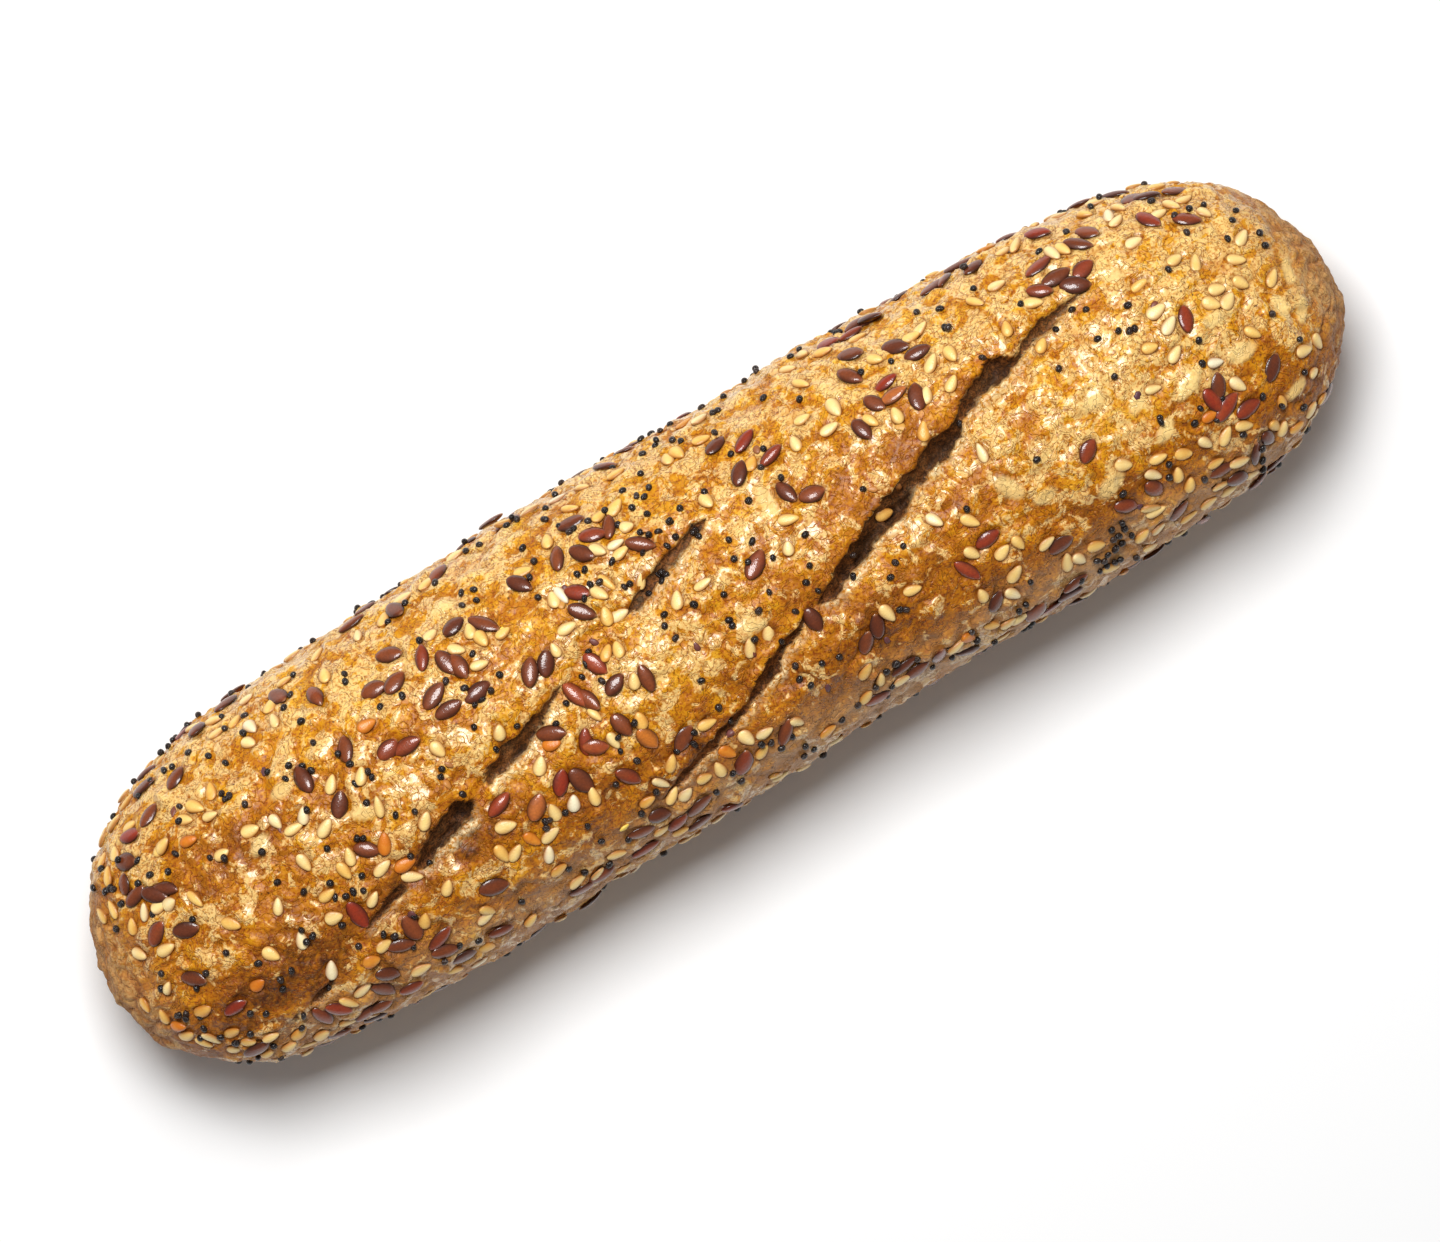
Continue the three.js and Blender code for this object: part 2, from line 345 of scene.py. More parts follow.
FLAX = (
    (-106, 11.5, 62), (-105.5, 9, 20), (-96.5, 24.5, 30), (-95.5, 23.5, 10), (-101.5, 18, -10),
    (-102.5, 7.5, -40), (-104, -7.5, -32), (-100.5, -14.5, 0), (-101.5, -22, -5), (-86.5, 27.5, 12),
    (-94, 25, 10), (-90, 22, 30), (-86.5, -23.5, -40), (-89.5, -23.5, -70), (-89, -27, 0), (-77, 27.5, 20),
    (-83, 26, 35), (-76.5, -22.5, -35), (-78.5, -24.5, -45), (-80.5, -26.5, 0), (-83, -26.5, 5),
    (-82.5, -28.5, -5), (-68.5, 25, -55), (-72, -20, -20), (-66, -22, 15), (-66.5, -24, -20),
    (-74.5, -26, -5), (-71.5, -28.5, 0), (-63, 21.5, -80), (-64.5, -26.5, -10), (-57, -26.5, -5),
    (-49, 30, 10), (-52, 29.5, 0), (-54, 17.5, -5), (-54, 7, 0), (-46, -9, 20), (-54, -20, -15),
    (-35.5, 29, 20), (-44.5, 26.5, -60), (-41.5, 15, -80), (-40, 13.5, -80), (-39.5, 8.5, 8),
    (-45, 8.5, 0), (-35.5, -11, 50), (-41, -12.5, 40), (-42, -27.5, 0), (-38, -28, 0), (-29, 29.5, 10),
    (-27.5, 7, 55), (-32.5, -3.5, -25), (-27.5, -9, -30), (-32.5, -12.5, -75), (-25.5, -15.5, -50),
    (-28.5, -24.5, -10), (-29.5, -27.5, 0), (-21, 30, 0), (-19.5, 29.5, 20), (-24.5, 20, -50),
    (-18, 11, -48), (-20.5, 2.5, -70), (-24.5, -2, -70), (-19.5, -12, -70), (-24.5, -23.5, -20),
    (-18, -25.5, 8), (-22.5, -26, 15), (-19.5, -28, 0), (-12, 24, -8), (-7, 20.5, 60), (-10, 20.5, -15),
    (-13, 19, -50), (-14.5, -3.5, 85), (-8, -23.5, 42), (-13.5, -27.5, -10), (3, 30.5, 0),
    (-2.5, 29.5, -20), (1.5, 29, -18), (-4, 15.5, -38), (0.5, -22.5, 40), (10.5, 3, 35), (14, -9.5, -87),
    (15, 23, 20), (19.5, 21, 25), (24.5, 8, -12), (22.5, -15.5, 70), (23, -23.5, 3), (24.5, -25, 5),
    (16.5, -26, -5), (29, -24.5, 60), (33.5, -26.5, -10), (40, 27.5, -15), (44, 27, 0), (42, 23.5, -20),
    (40, 21, -50), (44.5, 17, 0), (44.5, 14.5, 0), (40, -15.5, -60), (41.5, -22, 30), (54.5, 29.5, 5),
    (48, 29, -8), (45.5, 28.5, 10), (48, 27, -18), (49, 21, -30), (51.5, 18.5, -3), (47.5, 12.5, 72),
    (45.5, -13, 5), (54.5, -26, 0), (46.5, -26.5, 20), (49.5, -27, -15), (53, -27, 0), (59.5, 26.5, 10),
    (62, 26.5, 30), (55.5, -20, 12), (65.5, 28.5, -10), (67, 25.5, 15), (74, 17, -30), (67, -9, 35),
    (68, -20, -30), (73.5, -20, -60), (75, 27.5, 5), (79, 24.5, -20), (77.5, 17.5, 0), (82, 16.5, 15),
    (79.5, 15, -30), (75.5, -25.5, 25), (88, 25, -20), (93.5, 24.5, -25), (86, 21, -42), (89, -12.5, -80),
    (90.5, -14.5, 25), (93.5, -16.5, 5), (94, -22, -60), (85, -23, -3), (91, -23, 60), (86.5, -25, -15),
    (89.5, -26, 10), (94, -26.5, 10), (100.5, 23, -30), (95.5, 22, 10), (97.5, 21, -20), (102, 19.5, -15),
    (95.5, 17.5, -60), (101, 14.5, -35), (100.5, -13, 42), (106.5, -20.5, 20),
)
SESAME = (
    (-105.5, 21, 20), (-108.5, 19, 20), (-106, 19, 20), (-108, 17, 50), (-108, 14, 60), (-112, 9, 85),
    (-110, 9, 80), (-105.5, 6, 60), (-108.5, 5, 60), (-110, 0.5, -50), (-105.5, -1, 0), (-108.5, -6.5, 40),
    (-113, -7, -75), (-111.5, -10, 80), (-105.5, -12.5, 0), (-110, -12.5, -30), (-110, -14.5, -5),
    (-107, -17, -65), (-108.5, -17, -55), (-106, -22.5, -20), (-99.5, 23, 15), (-103, 21.5, 20),
    (-101, 19.5, 0), (-105, 16.5, 50), (-97, 13.5, 15), (-103, 5.5, 0), (-101, 5, 0), (-97, 3.5, -70),
    (-95.5, -13.5, 10), (-103.5, -18, 5), (-105, -20.5, -10), (-102, -20.5, -15), (-98.5, -21.5, -12),
    (-100.5, -23.5, 0), (-97, -24.5, 0), (-99.5, -25.5, 5), (-91, 25.5, 5), (-86, 17.5, 65),
    (-89.5, 16.5, -45), (-92, 15.5, -35), (-88, 14, -10), (-93, 12, -10), (-89.5, 7.5, 0), (-86, -4.5, 60),
    (-91, -10.5, -55), (-85.5, -11, 70), (-94.5, -24, 10), (-91.5, -26, 10), (-94.5, -26, -15),
    (-86.5, -26.5, -15), (-83.5, 27, 0), (-80, 26.5, -5), (-77, 25.5, 30), (-80.5, 25, 10),
    (-76.5, 21, -40), (-79, 7.5, -80), (-77, 5, 0), (-78.5, -0.5, -83), (-78, -7, 10), (-79, -10.5, -10),
    (-84, -17.5, 60), (-77.5, -19.5, -15), (-81.5, -23, 10), (-84.5, -23.5, -45), (-67, 29, 0),
    (-73.5, 27.5, 0), (-66.5, 26.5, 0), (-70.5, 24.5, 40), (-75, 23, -70), (-71, 22, 85), (-68, 8, 50),
    (-74.5, 6, 60), (-71.5, -3.5, 75), (-65.5, -4.5, 60), (-73.5, -5, -80), (-68, -7.5, 15),
    (-72, -11, 35), (-66.5, -18.5, 50), (-74.5, -18.5, -5), (-71.5, -24.5, 0), (-67, -27.5, -20),
    (-73, -28, 0), (-63.5, 29, 0), (-59.5, 27.5, 20), (-60, 23.5, 70), (-58, 13, 0), (-63, 6.5, 55),
    (-63, 1, 70), (-58, -4.5, 45), (-64.5, -9, 0), (-64.5, -11.5, -30), (-57, -22.5, -50), (-58, -23.5, 5),
    (-60.5, -27.5, -20), (-63, -28.5, 5), (-47, 26.5, 50), (-52, 26.5, 70), (-50, 4, -75),
    (-47, -12.5, -15), (-50, -16, -80), (-48, -17, 30), (-52, -27.5, 15), (-38, 27.5, 25), (-38, 27.5, 20),
    (-42.5, 27.5, 0), (-41.5, 20, 20), (-35.5, 17.5, 75), (-39, 16, -35), (-37, 12, -10), (-40, 1.5, 65),
    (-39, -14.5, 85), (-35.5, -15, 60), (-44.5, -16.5, -60), (-43.5, -20, 55), (-43.5, -23, 0),
    (-42, -26.5, 0), (-38.5, -27, 15), (-31.5, 30.5, 0), (-34.5, 15.5, -80), (-33.5, -5, -20),
    (-32, -15.5, 80), (-34, -26, -10), (-25.5, -26, 0), (-34.5, -28, 0), (-24, 30, 0), (-17, 29.5, 0),
    (-22, 29.5, 0), (-17, 23.5, 70), (-23, 21.5, -10), (-21, 15, 80), (-19.5, 15, -80), (-21.5, 10, 0),
    (-15, 8.5, 75), (-25, 8, 90), (-18, 3, 45), (-16.5, -3, 65), (-25, -4.5, -70), (-19, -9, 80),
    (-24.5, -9.5, -85), (-18.5, -17, 45), (-21.5, -19, -50), (-25, -20.5, 10), (-21, -22, 30),
    (-15, -22.5, -15), (-19, -23, 20), (-16.5, -28, 0), (-23, -28, 0), (-5.5, 30.5, 0), (-12, 28.5, 0),
    (-7.5, 28, -15), (-11, 26, -20), (-7.5, 22.5, 20), (-10.5, 18, -50), (-7.5, 17.5, 0), (-7.5, 16, 10),
    (-12, 13, -70), (-14, 12, -60), (-7, 10.5, 60), (-13, 7.5, 0), (-5.5, -20.5, -65), (-9.5, -21, -50),
    (-12, -22.5, 90), (-6.5, -28, -20), (-1.5, 27, -5), (-4.5, 22.5, 20), (-4.5, 19, -10), (1.5, 4.5, 0),
    (-3.5, 4.5, 60), (2.5, -8, 65), (-2.5, -21, 5), (3, -22, -45), (-4.5, -23.5, 25), (-4.5, -27.5, -25),
    (-4, -29, 0), (12.5, 30, 0), (7, 25, 80), (9, 25, -60), (13.5, 25, -5), (9, 16, -75), (6.5, -7.5, 60),
    (6.5, -26, 0), (7, -27.5, 10), (21.5, 30, 0), (19, 30, 0), (15, 27.5, 10), (18.5, 17.5, 40),
    (19, 6.5, -20), (25, -14.5, -75), (17, -21, 35), (18.5, -23.5, 60), (15, -25, 30), (21.5, -25, 0),
    (32, 27.5, -20), (32.5, 24, -40), (26.5, 16.5, 85), (32.5, 15.5, 5), (33, -1, -20), (32, -24.5, 10),
    (34.5, -24.5, -40), (35.5, 27.5, -40), (38.5, 26.5, -15), (44.5, 25.5, 0), (45, 21, -35),
    (35, 18, -85), (39, 13, -60), (43, 11.5, 85), (44.5, -9, -50), (42, -13.5, -55), (40, -20, 90),
    (44.5, -22.5, -50), (39, -25, -20), (41.5, -26, 0), (43.5, -26.5, 0), (39.5, -27, 0), (48.5, 28, 0),
    (54, 21.5, 10), (52, 21, 0), (52.5, 16, 35), (49, 12, 55), (53.5, 11.5, 35), (45.5, 7.5, 60),
    (52, -0.5, 82), (46.5, -16, 20), (49.5, -16, -75), (53.5, -18.5, 10), (46.5, -20, 30), (58, 28.5, 0),
    (63, 28.5, 0), (64, 20.5, -50), (56, 15.5, -85), (60.5, -23, -15), (55, -23, 65), (57, -23.5, -55),
    (56, -27.5, 5), (61, -27.5, -10), (70.5, 27.5, 0), (72.5, 25, 20), (68.5, 21, -5), (72, 16, -25),
    (69.5, 9.5, 40), (71, -14, -30), (74.5, -18, -40), (71.5, -22.5, -15), (72, -23.5, 0), (68, -25.5, 15),
    (71, -26, 10), (68.5, -28, -15), (74.5, -28, -5), (76, 27, -10), (84, 26, -15), (75, 25, 30),
    (79, 20.5, -65), (81, 20.5, -60), (84.5, 0, -15), (81.5, -6, -15), (76.5, -16, -3), (80.5, -17.5, -25),
    (84.5, -17.5, -60), (78, -20, 65), (84.5, -21.5, -3), (79, -22.5, 50), (83.5, -25, -5), (80.5, -27, 8),
    (84.5, -27, 10), (76.5, -27.5, 5), (90, 26, -20), (87.5, 24, -30), (92.5, 21.5, -50), (91, 20, 10),
    (91.5, 16, -5), (88.5, 9.5, 5), (88.5, 4.5, 5), (89, 1.5, 30), (87.5, -3, 30), (92.5, -7.5, -20),
    (94, -12.5, -60), (87.5, -14.5, 0), (91.5, -18.5, -25), (88, -18.5, 35), (88, -23, -5), (89, -25.5, 0),
    (97, 23.5, -20), (100, 22.5, -20), (103, 21, -20), (102.5, 17.5, -5), (100, 17.5, -55),
    (97.5, 17.5, 0), (104, 14, -60), (95.5, 10, 10), (98.5, 8, 60), (104.5, 5, -35), (99, 2.5, -20),
    (103, 1.5, -55), (97, 1, -45), (99.5, 0, 30), (99, -18.5, 80), (96, -21, -65), (102.5, -21.5, 30),
    (97, -22, 45), (99, -22.5, 15), (101, -23, 20), (103, -23.5, 15), (97, -25.5, 5), (107, 7.5, 30),
    (108, -0.5, 45), (106, -13, -10), (109, -13, -80), (106, -17, 0), (105.5, -22.5, 10),
)
POPPY = (
    (-109, 17.5), (-108.5, 15.5), (-111, 13.5), (-108.5, 12), (-109.5, 12), (-108, 11.5), (-108, 9),
    (-111, 6), (-108, -4), (-109.5, -6), (-109.5, -11), (-109, -11), (-108, -11.5), (-108, -12),
    (-106.5, -13), (-107, -15), (-108.5, -16), (-105.5, -17.5), (-97, 22.5), (-102.5, 21), (-104.5, 15),
    (-102, 13.5), (-96, 11.5), (-104, 10.5), (-101.5, 10.5), (-98.5, 9.5), (-104.5, 5), (-99, 1),
    (-97, -6.5), (-101.5, -7.5), (-104.5, -9), (-99, -16.5), (-97, -18), (-101, -19.5), (-104, -19.5),
    (-102.5, -23), (-99, -23), (-99, -24.5), (-87.5, 26), (-90, 25.5), (-88.5, 25.5), (-86, 24),
    (-91, 23.5), (-89.5, 23.5), (-94, 23.5), (-91.5, 17.5), (-93, 15.5), (-91.5, 8), (-89, 6.5),
    (-93.5, -10.5), (-89.5, -14), (-92, -14.5), (-92.5, -16), (-86, -20), (-92, -21.5), (-93.5, -23),
    (-75.5, 28), (-78.5, 26.5), (-75, 25), (-79, 25), (-83.5, 22.5), (-76.5, 22.5), (-81.5, 20),
    (-84.5, 16), (-83.5, 15), (-76, 15), (-82, 12.5), (-83.5, 4.5), (-84, -1), (-81, -4.5), (-76.5, -5.5),
    (-77, -8), (-75.5, -8.5), (-84.5, -9.5), (-83.5, -11), (-85, -11.5), (-78.5, -12), (-78, -16.5),
    (-72.5, 29), (-66.5, 24), (-68.5, 22.5), (-67, 19), (-67, 15), (-72.5, 14), (-70.5, 13), (-74, 12.5),
    (-69.5, 11.5), (-73.5, 6.5), (-74, -0.5), (-69, -1.5), (-68, -2), (-71.5, -7), (-74, -8.5),
    (-72.5, -9), (-73.5, -17), (-67.5, -17), (-72, -18), (-70.5, -21), (-67.5, -25), (-62, 29),
    (-64.5, 26.5), (-57, 22), (-57.5, 21), (-64.5, 11.5), (-63.5, 9), (-61.5, 6.5), (-64.5, 6),
    (-64.5, 2.5), (-61.5, -1.5), (-58.5, -2.5), (-63, -8), (-61, -11.5), (-64, -24.5), (-61, -25.5),
    (-48, 29.5), (-50, 29.5), (-46.5, 25.5), (-54.5, 14.5), (-50.5, 14), (-51, 1), (-52, 0), (-50.5, -4),
    (-51.5, -24.5), (-42, 30), (-41, 30), (-36.5, 26.5), (-42.5, 26.5), (-43.5, 20), (-37, 14),
    (-43, 12.5), (-41, 10), (-35, 9), (-37.5, 7.5), (-41, 7), (-39.5, 7), (-43, 4), (-37, 1), (-42, -0.5),
    (-41, -15), (-40.5, -15), (-37.5, -15.5), (-41.5, -16), (-35.5, -19), (-35, -22.5), (-42, -24),
    (-40, -26), (-36, -26.5), (-29, 30.5), (-29.5, 28.5), (-27, 28.5), (-33.5, 23.5), (-31.5, 23),
    (-34.5, 21.5), (-32, 21.5), (-28, -0.5), (-31, -2.5), (-28, -15.5), (-27, -21.5), (-31, -24.5),
    (-21.5, 29), (-19.5, 28.5), (-20, 28.5), (-15.5, 26.5), (-21, 24.5), (-20.5, 22), (-22.5, 20),
    (-15.5, 16.5), (-23, 16.5), (-16.5, 12.5), (-20.5, 5), (-22, 3.5), (-23.5, 2), (-21, -0.5),
    (-20, -8.5), (-23.5, -9.5), (-24.5, -11.5), (-23, -14), (-16.5, -16), (-23, -19.5), (-10, 30.5),
    (-12.5, 30), (-12, 30), (-14.5, 28), (-14, 24.5), (-13, 22.5), (-9.5, 22.5), (-12, 22.5), (-6.5, 22.5),
    (-5.5, 20), (-14, 16.5), (-9.5, 15.5), (-14.5, 14), (-13, 13.5), (-10, 11), (-9, 11), (-7, 8),
    (-6.5, 3.5), (-7.5, 2), (-7, -8.5), (-7, -13.5), (-12.5, -15), (-13.5, -16.5), (-6.5, -17),
    (-10.5, -23.5), (-14.5, -25), (-10, -25.5), (-1.5, 28.5), (4, 27.5), (2, 25), (-2, 23.5), (2, 22.5),
    (-0.5, 22), (0.5, 21.5), (-2, 21), (-0.5, 19), (4.5, 17), (-3, 17), (2, 16), (2, 16), (-2, 16),
    (-0.5, 15.5), (-4.5, 14), (1.5, 13.5), (-0.5, 13), (5, 13), (4.5, 12.5), (5, 11.5), (-4, 10),
    (-3.5, 10), (-3, 9), (-4, 8.5), (-1.5, 2.5), (3.5, 1.5), (2, -2.5), (2, -3.5), (4, -7), (-4, -22),
    (-2.5, -22.5), (1, -23.5), (-1.5, -24), (2, -26), (3, -27), (1, -28), (8.5, 30), (7, 29.5), (10.5, 29),
    (6.5, 27.5), (7, 27.5), (9.5, 27), (10.5, 26), (9.5, 17.5), (9, 8.5), (12, 6.5), (9.5, 4), (13.5, 2.5),
    (10, -2), (7, -3.5), (12, -6.5), (7.5, -9.5), (7.5, -14.5), (11.5, -16), (14.5, -16.5), (7, -16.5),
    (8, -18), (13, -25), (9.5, -25.5), (16.5, 30), (20.5, 29), (17.5, 27.5), (18.5, 27.5), (16, 24.5),
    (16.5, 20.5), (21.5, 18.5), (19.5, 16), (21.5, 13), (15, 12.5), (20, 3), (18, -1.5), (16, -3.5),
    (25, -4), (17, -5.5), (23.5, -7), (22, -22), (20, -22.5), (17, -24), (19.5, -25), (18, -26.5),
    (27.5, 29), (25, 28.5), (33.5, 27.5), (26, 25.5), (31, 22), (32, 4.5), (33, -7), (30.5, -8.5),
    (28.5, -10), (27, -15), (28, -15.5), (25.5, -23.5), (27, -26), (30.5, -26), (42, 29), (35.5, 28.5),
    (42.5, 28.5), (42, 20.5), (45, -7), (35.5, -24), (44, -25), (35.5, -25.5), (38, -27), (47, 19),
    (51.5, 5.5), (48, -22), (45.5, -25), (55, 24), (65, 22.5), (58.5, 22.5), (57.5, 19.5), (58, 19),
    (60, 12.5), (59, -6), (64, -22), (63.5, -23.5), (64.5, -23.5), (59.5, -25), (63, -25), (61.5, -25),
    (64.5, -25), (60.5, -25.5), (55.5, -26), (59, -26.5), (60.5, -26.5), (62, -26.5), (63, -26.5),
    (65.5, 25.5), (70, 16.5), (73, 10.5), (68.5, -18), (66, -22), (66, -23), (66.5, -24.5), (65.5, -27),
    (78.5, 27), (83, 22.5), (77.5, 22), (77, 12), (79, 10.5), (78, 5.5), (81.5, 5), (84, 4), (83, 4),
    (77, -1), (80, -10.5), (79.5, -11), (84.5, -14), (77.5, -17.5), (76.5, -19.5), (81.5, -22.5),
    (85.5, 26), (89, 24.5), (91, 24), (93.5, 9), (92, -3), (90.5, -6.5), (86.5, -12.5), (90.5, -13),
    (92, -14), (88, -15.5), (90.5, -19.5), (92, -22.5), (91.5, -24.5), (91, -25.5), (98.5, 22.5),
    (97.5, 19.5), (99.5, 16), (102, 15.5), (104.5, 15), (99.5, 12.5), (105, 8.5), (104.5, -5.5),
    (104.5, -16), (96.5, -16), (98, -18.5), (101.5, -20.5), (100.5, -24), (108.5, 11.5), (107, 10.5),
    (109.5, 6.5), (109.5, 4.5), (106, -11),
)

# Seeds that stand out by their colour, as x, y and tint: 0 is the palest sesame or the darkest flax, and 1
# the most orange of either.
ODD_FLAX = (
    (-86.5, -23.5, 0.6), (-46, -9, 0.62), (-20.5, 2.5, 0.62), (89, -12.5, 0.58), (90.5, -14.5, 0.6),
    (-41, -12.5, 0.85), (44.5, 14.5, 0.85), (-19.5, -12, 1), (-27.5, -9, 0.7), (19.5, 21, 0.5),
    (-24.5, -2, 0.3), (86, 21, 0.3),
)
ODD_SESAME = (
    (-110, -12.5, 1), (-95.5, -13.5, 1), (-93, 12, 1), (-65.5, -4.5, 1), (-58, 13, 0.95), (-64.5, -9, 1),
    (-44.5, -16.5, 0.95), (-33.5, -5, 1), (-9.5, -21, 0.95), (34.5, -24.5, 0.95), (87.5, -14.5, 1),
    (-35.5, -15, 0), (-19.5, 15, 0), (92.5, -7.5, 0), (45.5, 7.5, 0.7),
)
# Sesame seeds baked deep into the crust, and how far they sink in.
BURIED_SINK = 0.62
BURIED = ((-12, 13), (-7, 10.5), (-13, 7.5), (6.5, -7.5), (45.5, 7.5), (91.5, 16), (88.5, 9.5), (98.5, 8))
# Seeds under the baked skin, which show as pale humps: x, y, turn, half length and half width.
GHOSTS = (
    (-75.6, 11.4, 0, 2.4, 1.2), (-65.6, 1.2, -20, 2.4, 1.2), (-37.5, 23.1, 0, 2.4, 1.2),
    (17.5, 10.9, 90, 3, 1.5), (5, -5.1, -20, 2.4, 1.2), (71.9, -2.7, 10, 2.2, 1.3),
    (52.8, -7.7, -60, 3, 1.6), (78, -6.6, 40, 2.2, 1.2), (79.7, -12.7, 30, 2.4, 1.2),
    (57.2, -11.9, 0, 2.2, 1.2), (67.6, -15.8, 20, 3, 1.6), (85.4, 13.1, -30, 2.2, 1.2),
    (86.9, -8.3, 25, 3.4, 1.2), (106.7, -5.5, 90, 2.4, 1.2), (109.4, -7.4, 60, 2.4, 1.2),
    (97.2, -8.3, 0, 3, 1.6), (102, -17.7, 20, 2.4, 1.2), (110.8, -1, 70, 2.4, 1.2),
    (95.8, -1.3, 0, 2.2, 1.2), (-83.3, 5.6, 30, 2.2, 1.2),
)

# ---- The crust --------------------------------------------------------------------------------------

PROUD = 0.55  # the skin stands this far out of the CAD loaf
LEAN = 0.3  # how far the upper lips of the scores hang over
BODY_END = 96  # stations are even up to here, then follow the plan's outline
BODY_STATIONS = 330
END_STATIONS = 60
SECTION_POINTS = 220
# Patches of the crust as x, y, reach along x and y, and how much: baked darker or, below 0, paler than the
# rest, and wrinkled.
BAKED = (
    (50, -7, 11, 3.5, 1), (29, 4, 8, 4, 1), (-54, -1.5, 6, 2.5, 1), (-52, -13, 7, 2.5, 1),
    (-88, -13, 20, 7, 1.2), (-50, -9, 18, 5, 0.7), (-92, 6, 16, 10, 0.7), (-88, 5, 14, 7, 0.5),
    (-18, -17, 14, 4, 0.5), (-54, 8, 16, 4, 0.6), (17, -5, 17, 6, 0.8), (54, 9, 15, 4, 0.5),
    (-18, -3, 14, 6, -0.7), (84, 3, 24, 15, -1.1), (-52, -17, 14, 4, -1), (88, 22, 16, 6, -0.5),
)
WRINKLED = ((-70, 15, 16, 9, 1), (30, 12, 12, 7, 1), (-70, -18, 16, 6, 0.6))


def section_angles():
    """Angles of the points round a section, closest on the top and widest apart on the base."""
    fine = np.linspace(0, 2 * math.pi, 8001)
    at = crust_round(0, fine)
    middle = (at[1:] + at[:-1]) / 2
    spacing = np.where(np.abs(middle[:, 1]) < 20, 0.45, 0.6)
    spacing = np.where(middle[:, 2] < WAIST, 0.9, spacing)
    spacing = np.where(middle[:, 2] < 0.3, 2.4, spacing)
    amount = np.cumsum(np.linalg.norm(np.diff(at, axis=0), axis=1) / spacing)
    wanted = np.arange(SECTION_POINTS) / SECTION_POINTS * amount[-1]
    return np.interp(wanted, np.concatenate([[0], amount]), fine)


def station_places():
    body = np.linspace(-BODY_END, BODY_END, BODY_STATIONS)
    start = math.acos(closing(BODY_END, PLAN_POWER))
    turns = np.linspace(start, math.pi / 2, END_STATIONS + 2)[1:-1]
    end = LENGTH / 2 * np.sin(turns) ** (2 / PLAN_POWER)
    return np.concatenate([-end[::-1], body, end])


def grid_angles():
    """The angle of every point of the skin: the same in each section, then drawn onto the edges of the
    scores."""
    x = station_places()
    angles = np.repeat(section_angles()[None, :], len(x), axis=0)
    index = np.arange(SECTION_POINTS)
    for score, upper, lower, _, _ in POCKETS:
        upper_edge, lower_edge = pocket_edge(upper, score), pocket_edge(lower, score)
        for edge, sway in ((upper, 1), (lower, LOWER_SWAY)):
            edge_x, edge_y = np.array(sorted(edge), float).T
            y = np.interp(x, edge_x, edge_y)
            along, _, _ = along_score(x, y, SCORE_LINES[score])
            width = np.interp(along, *upper_edge) - np.interp(along, *lower_edge)
            sway_y = sway * np.clip(width / 3, 0, 1) / math.cos(math.radians(SCORE_SLOPE))
            wanted = angle_above(x, y)
            for _ in range(5):
                wanted = angle_above(x, y + sway_y * raggedness(crust_round(x, wanted)))
            for i in np.flatnonzero((x > edge_x[0]) & (x < edge_x[-1])):
                nearest = np.argmin(np.abs(angles[i] - wanted[i]))
                pull = np.clip(1 - np.abs(index - nearest) / 2.5, 0, 1)
                angles[i] += pull * (wanted[i] - angles[i, nearest])
    return angles


def heading_above(out, turn):
    """The direction in the crust whose view from above lies `turn` degrees from the loaf's length."""
    c, s = math.cos(math.radians(turn)), math.sin(math.radians(turn))
    return unit(np.array([c, s, -(out[0] * c + out[1] * s) / max(out[2], 0.35)]))


def press(points, field, x, angle, turn, half_length, half_width, depth, rim):
    """Adds to `field` a dent in the shape of a seed, with a low rim round it."""
    centre, out = crust_round(x, angle), crust_normal(x, angle)
    along = heading_above(out, turn)
    across = np.cross(out, along)
    near = np.abs(points[:, 0, 0] - x) < half_length + 4
    local = points[near] - centre
    reach = np.hypot(local @ along / half_length, local @ across / half_width)
    level = np.abs(local @ out) < 4
    dent = -depth * ramp(reach, 1.15, 0.75) + rim * np.exp(-(((reach - 1.35) / 0.25) ** 2))
    field[near] += np.where(level, dent, 0)


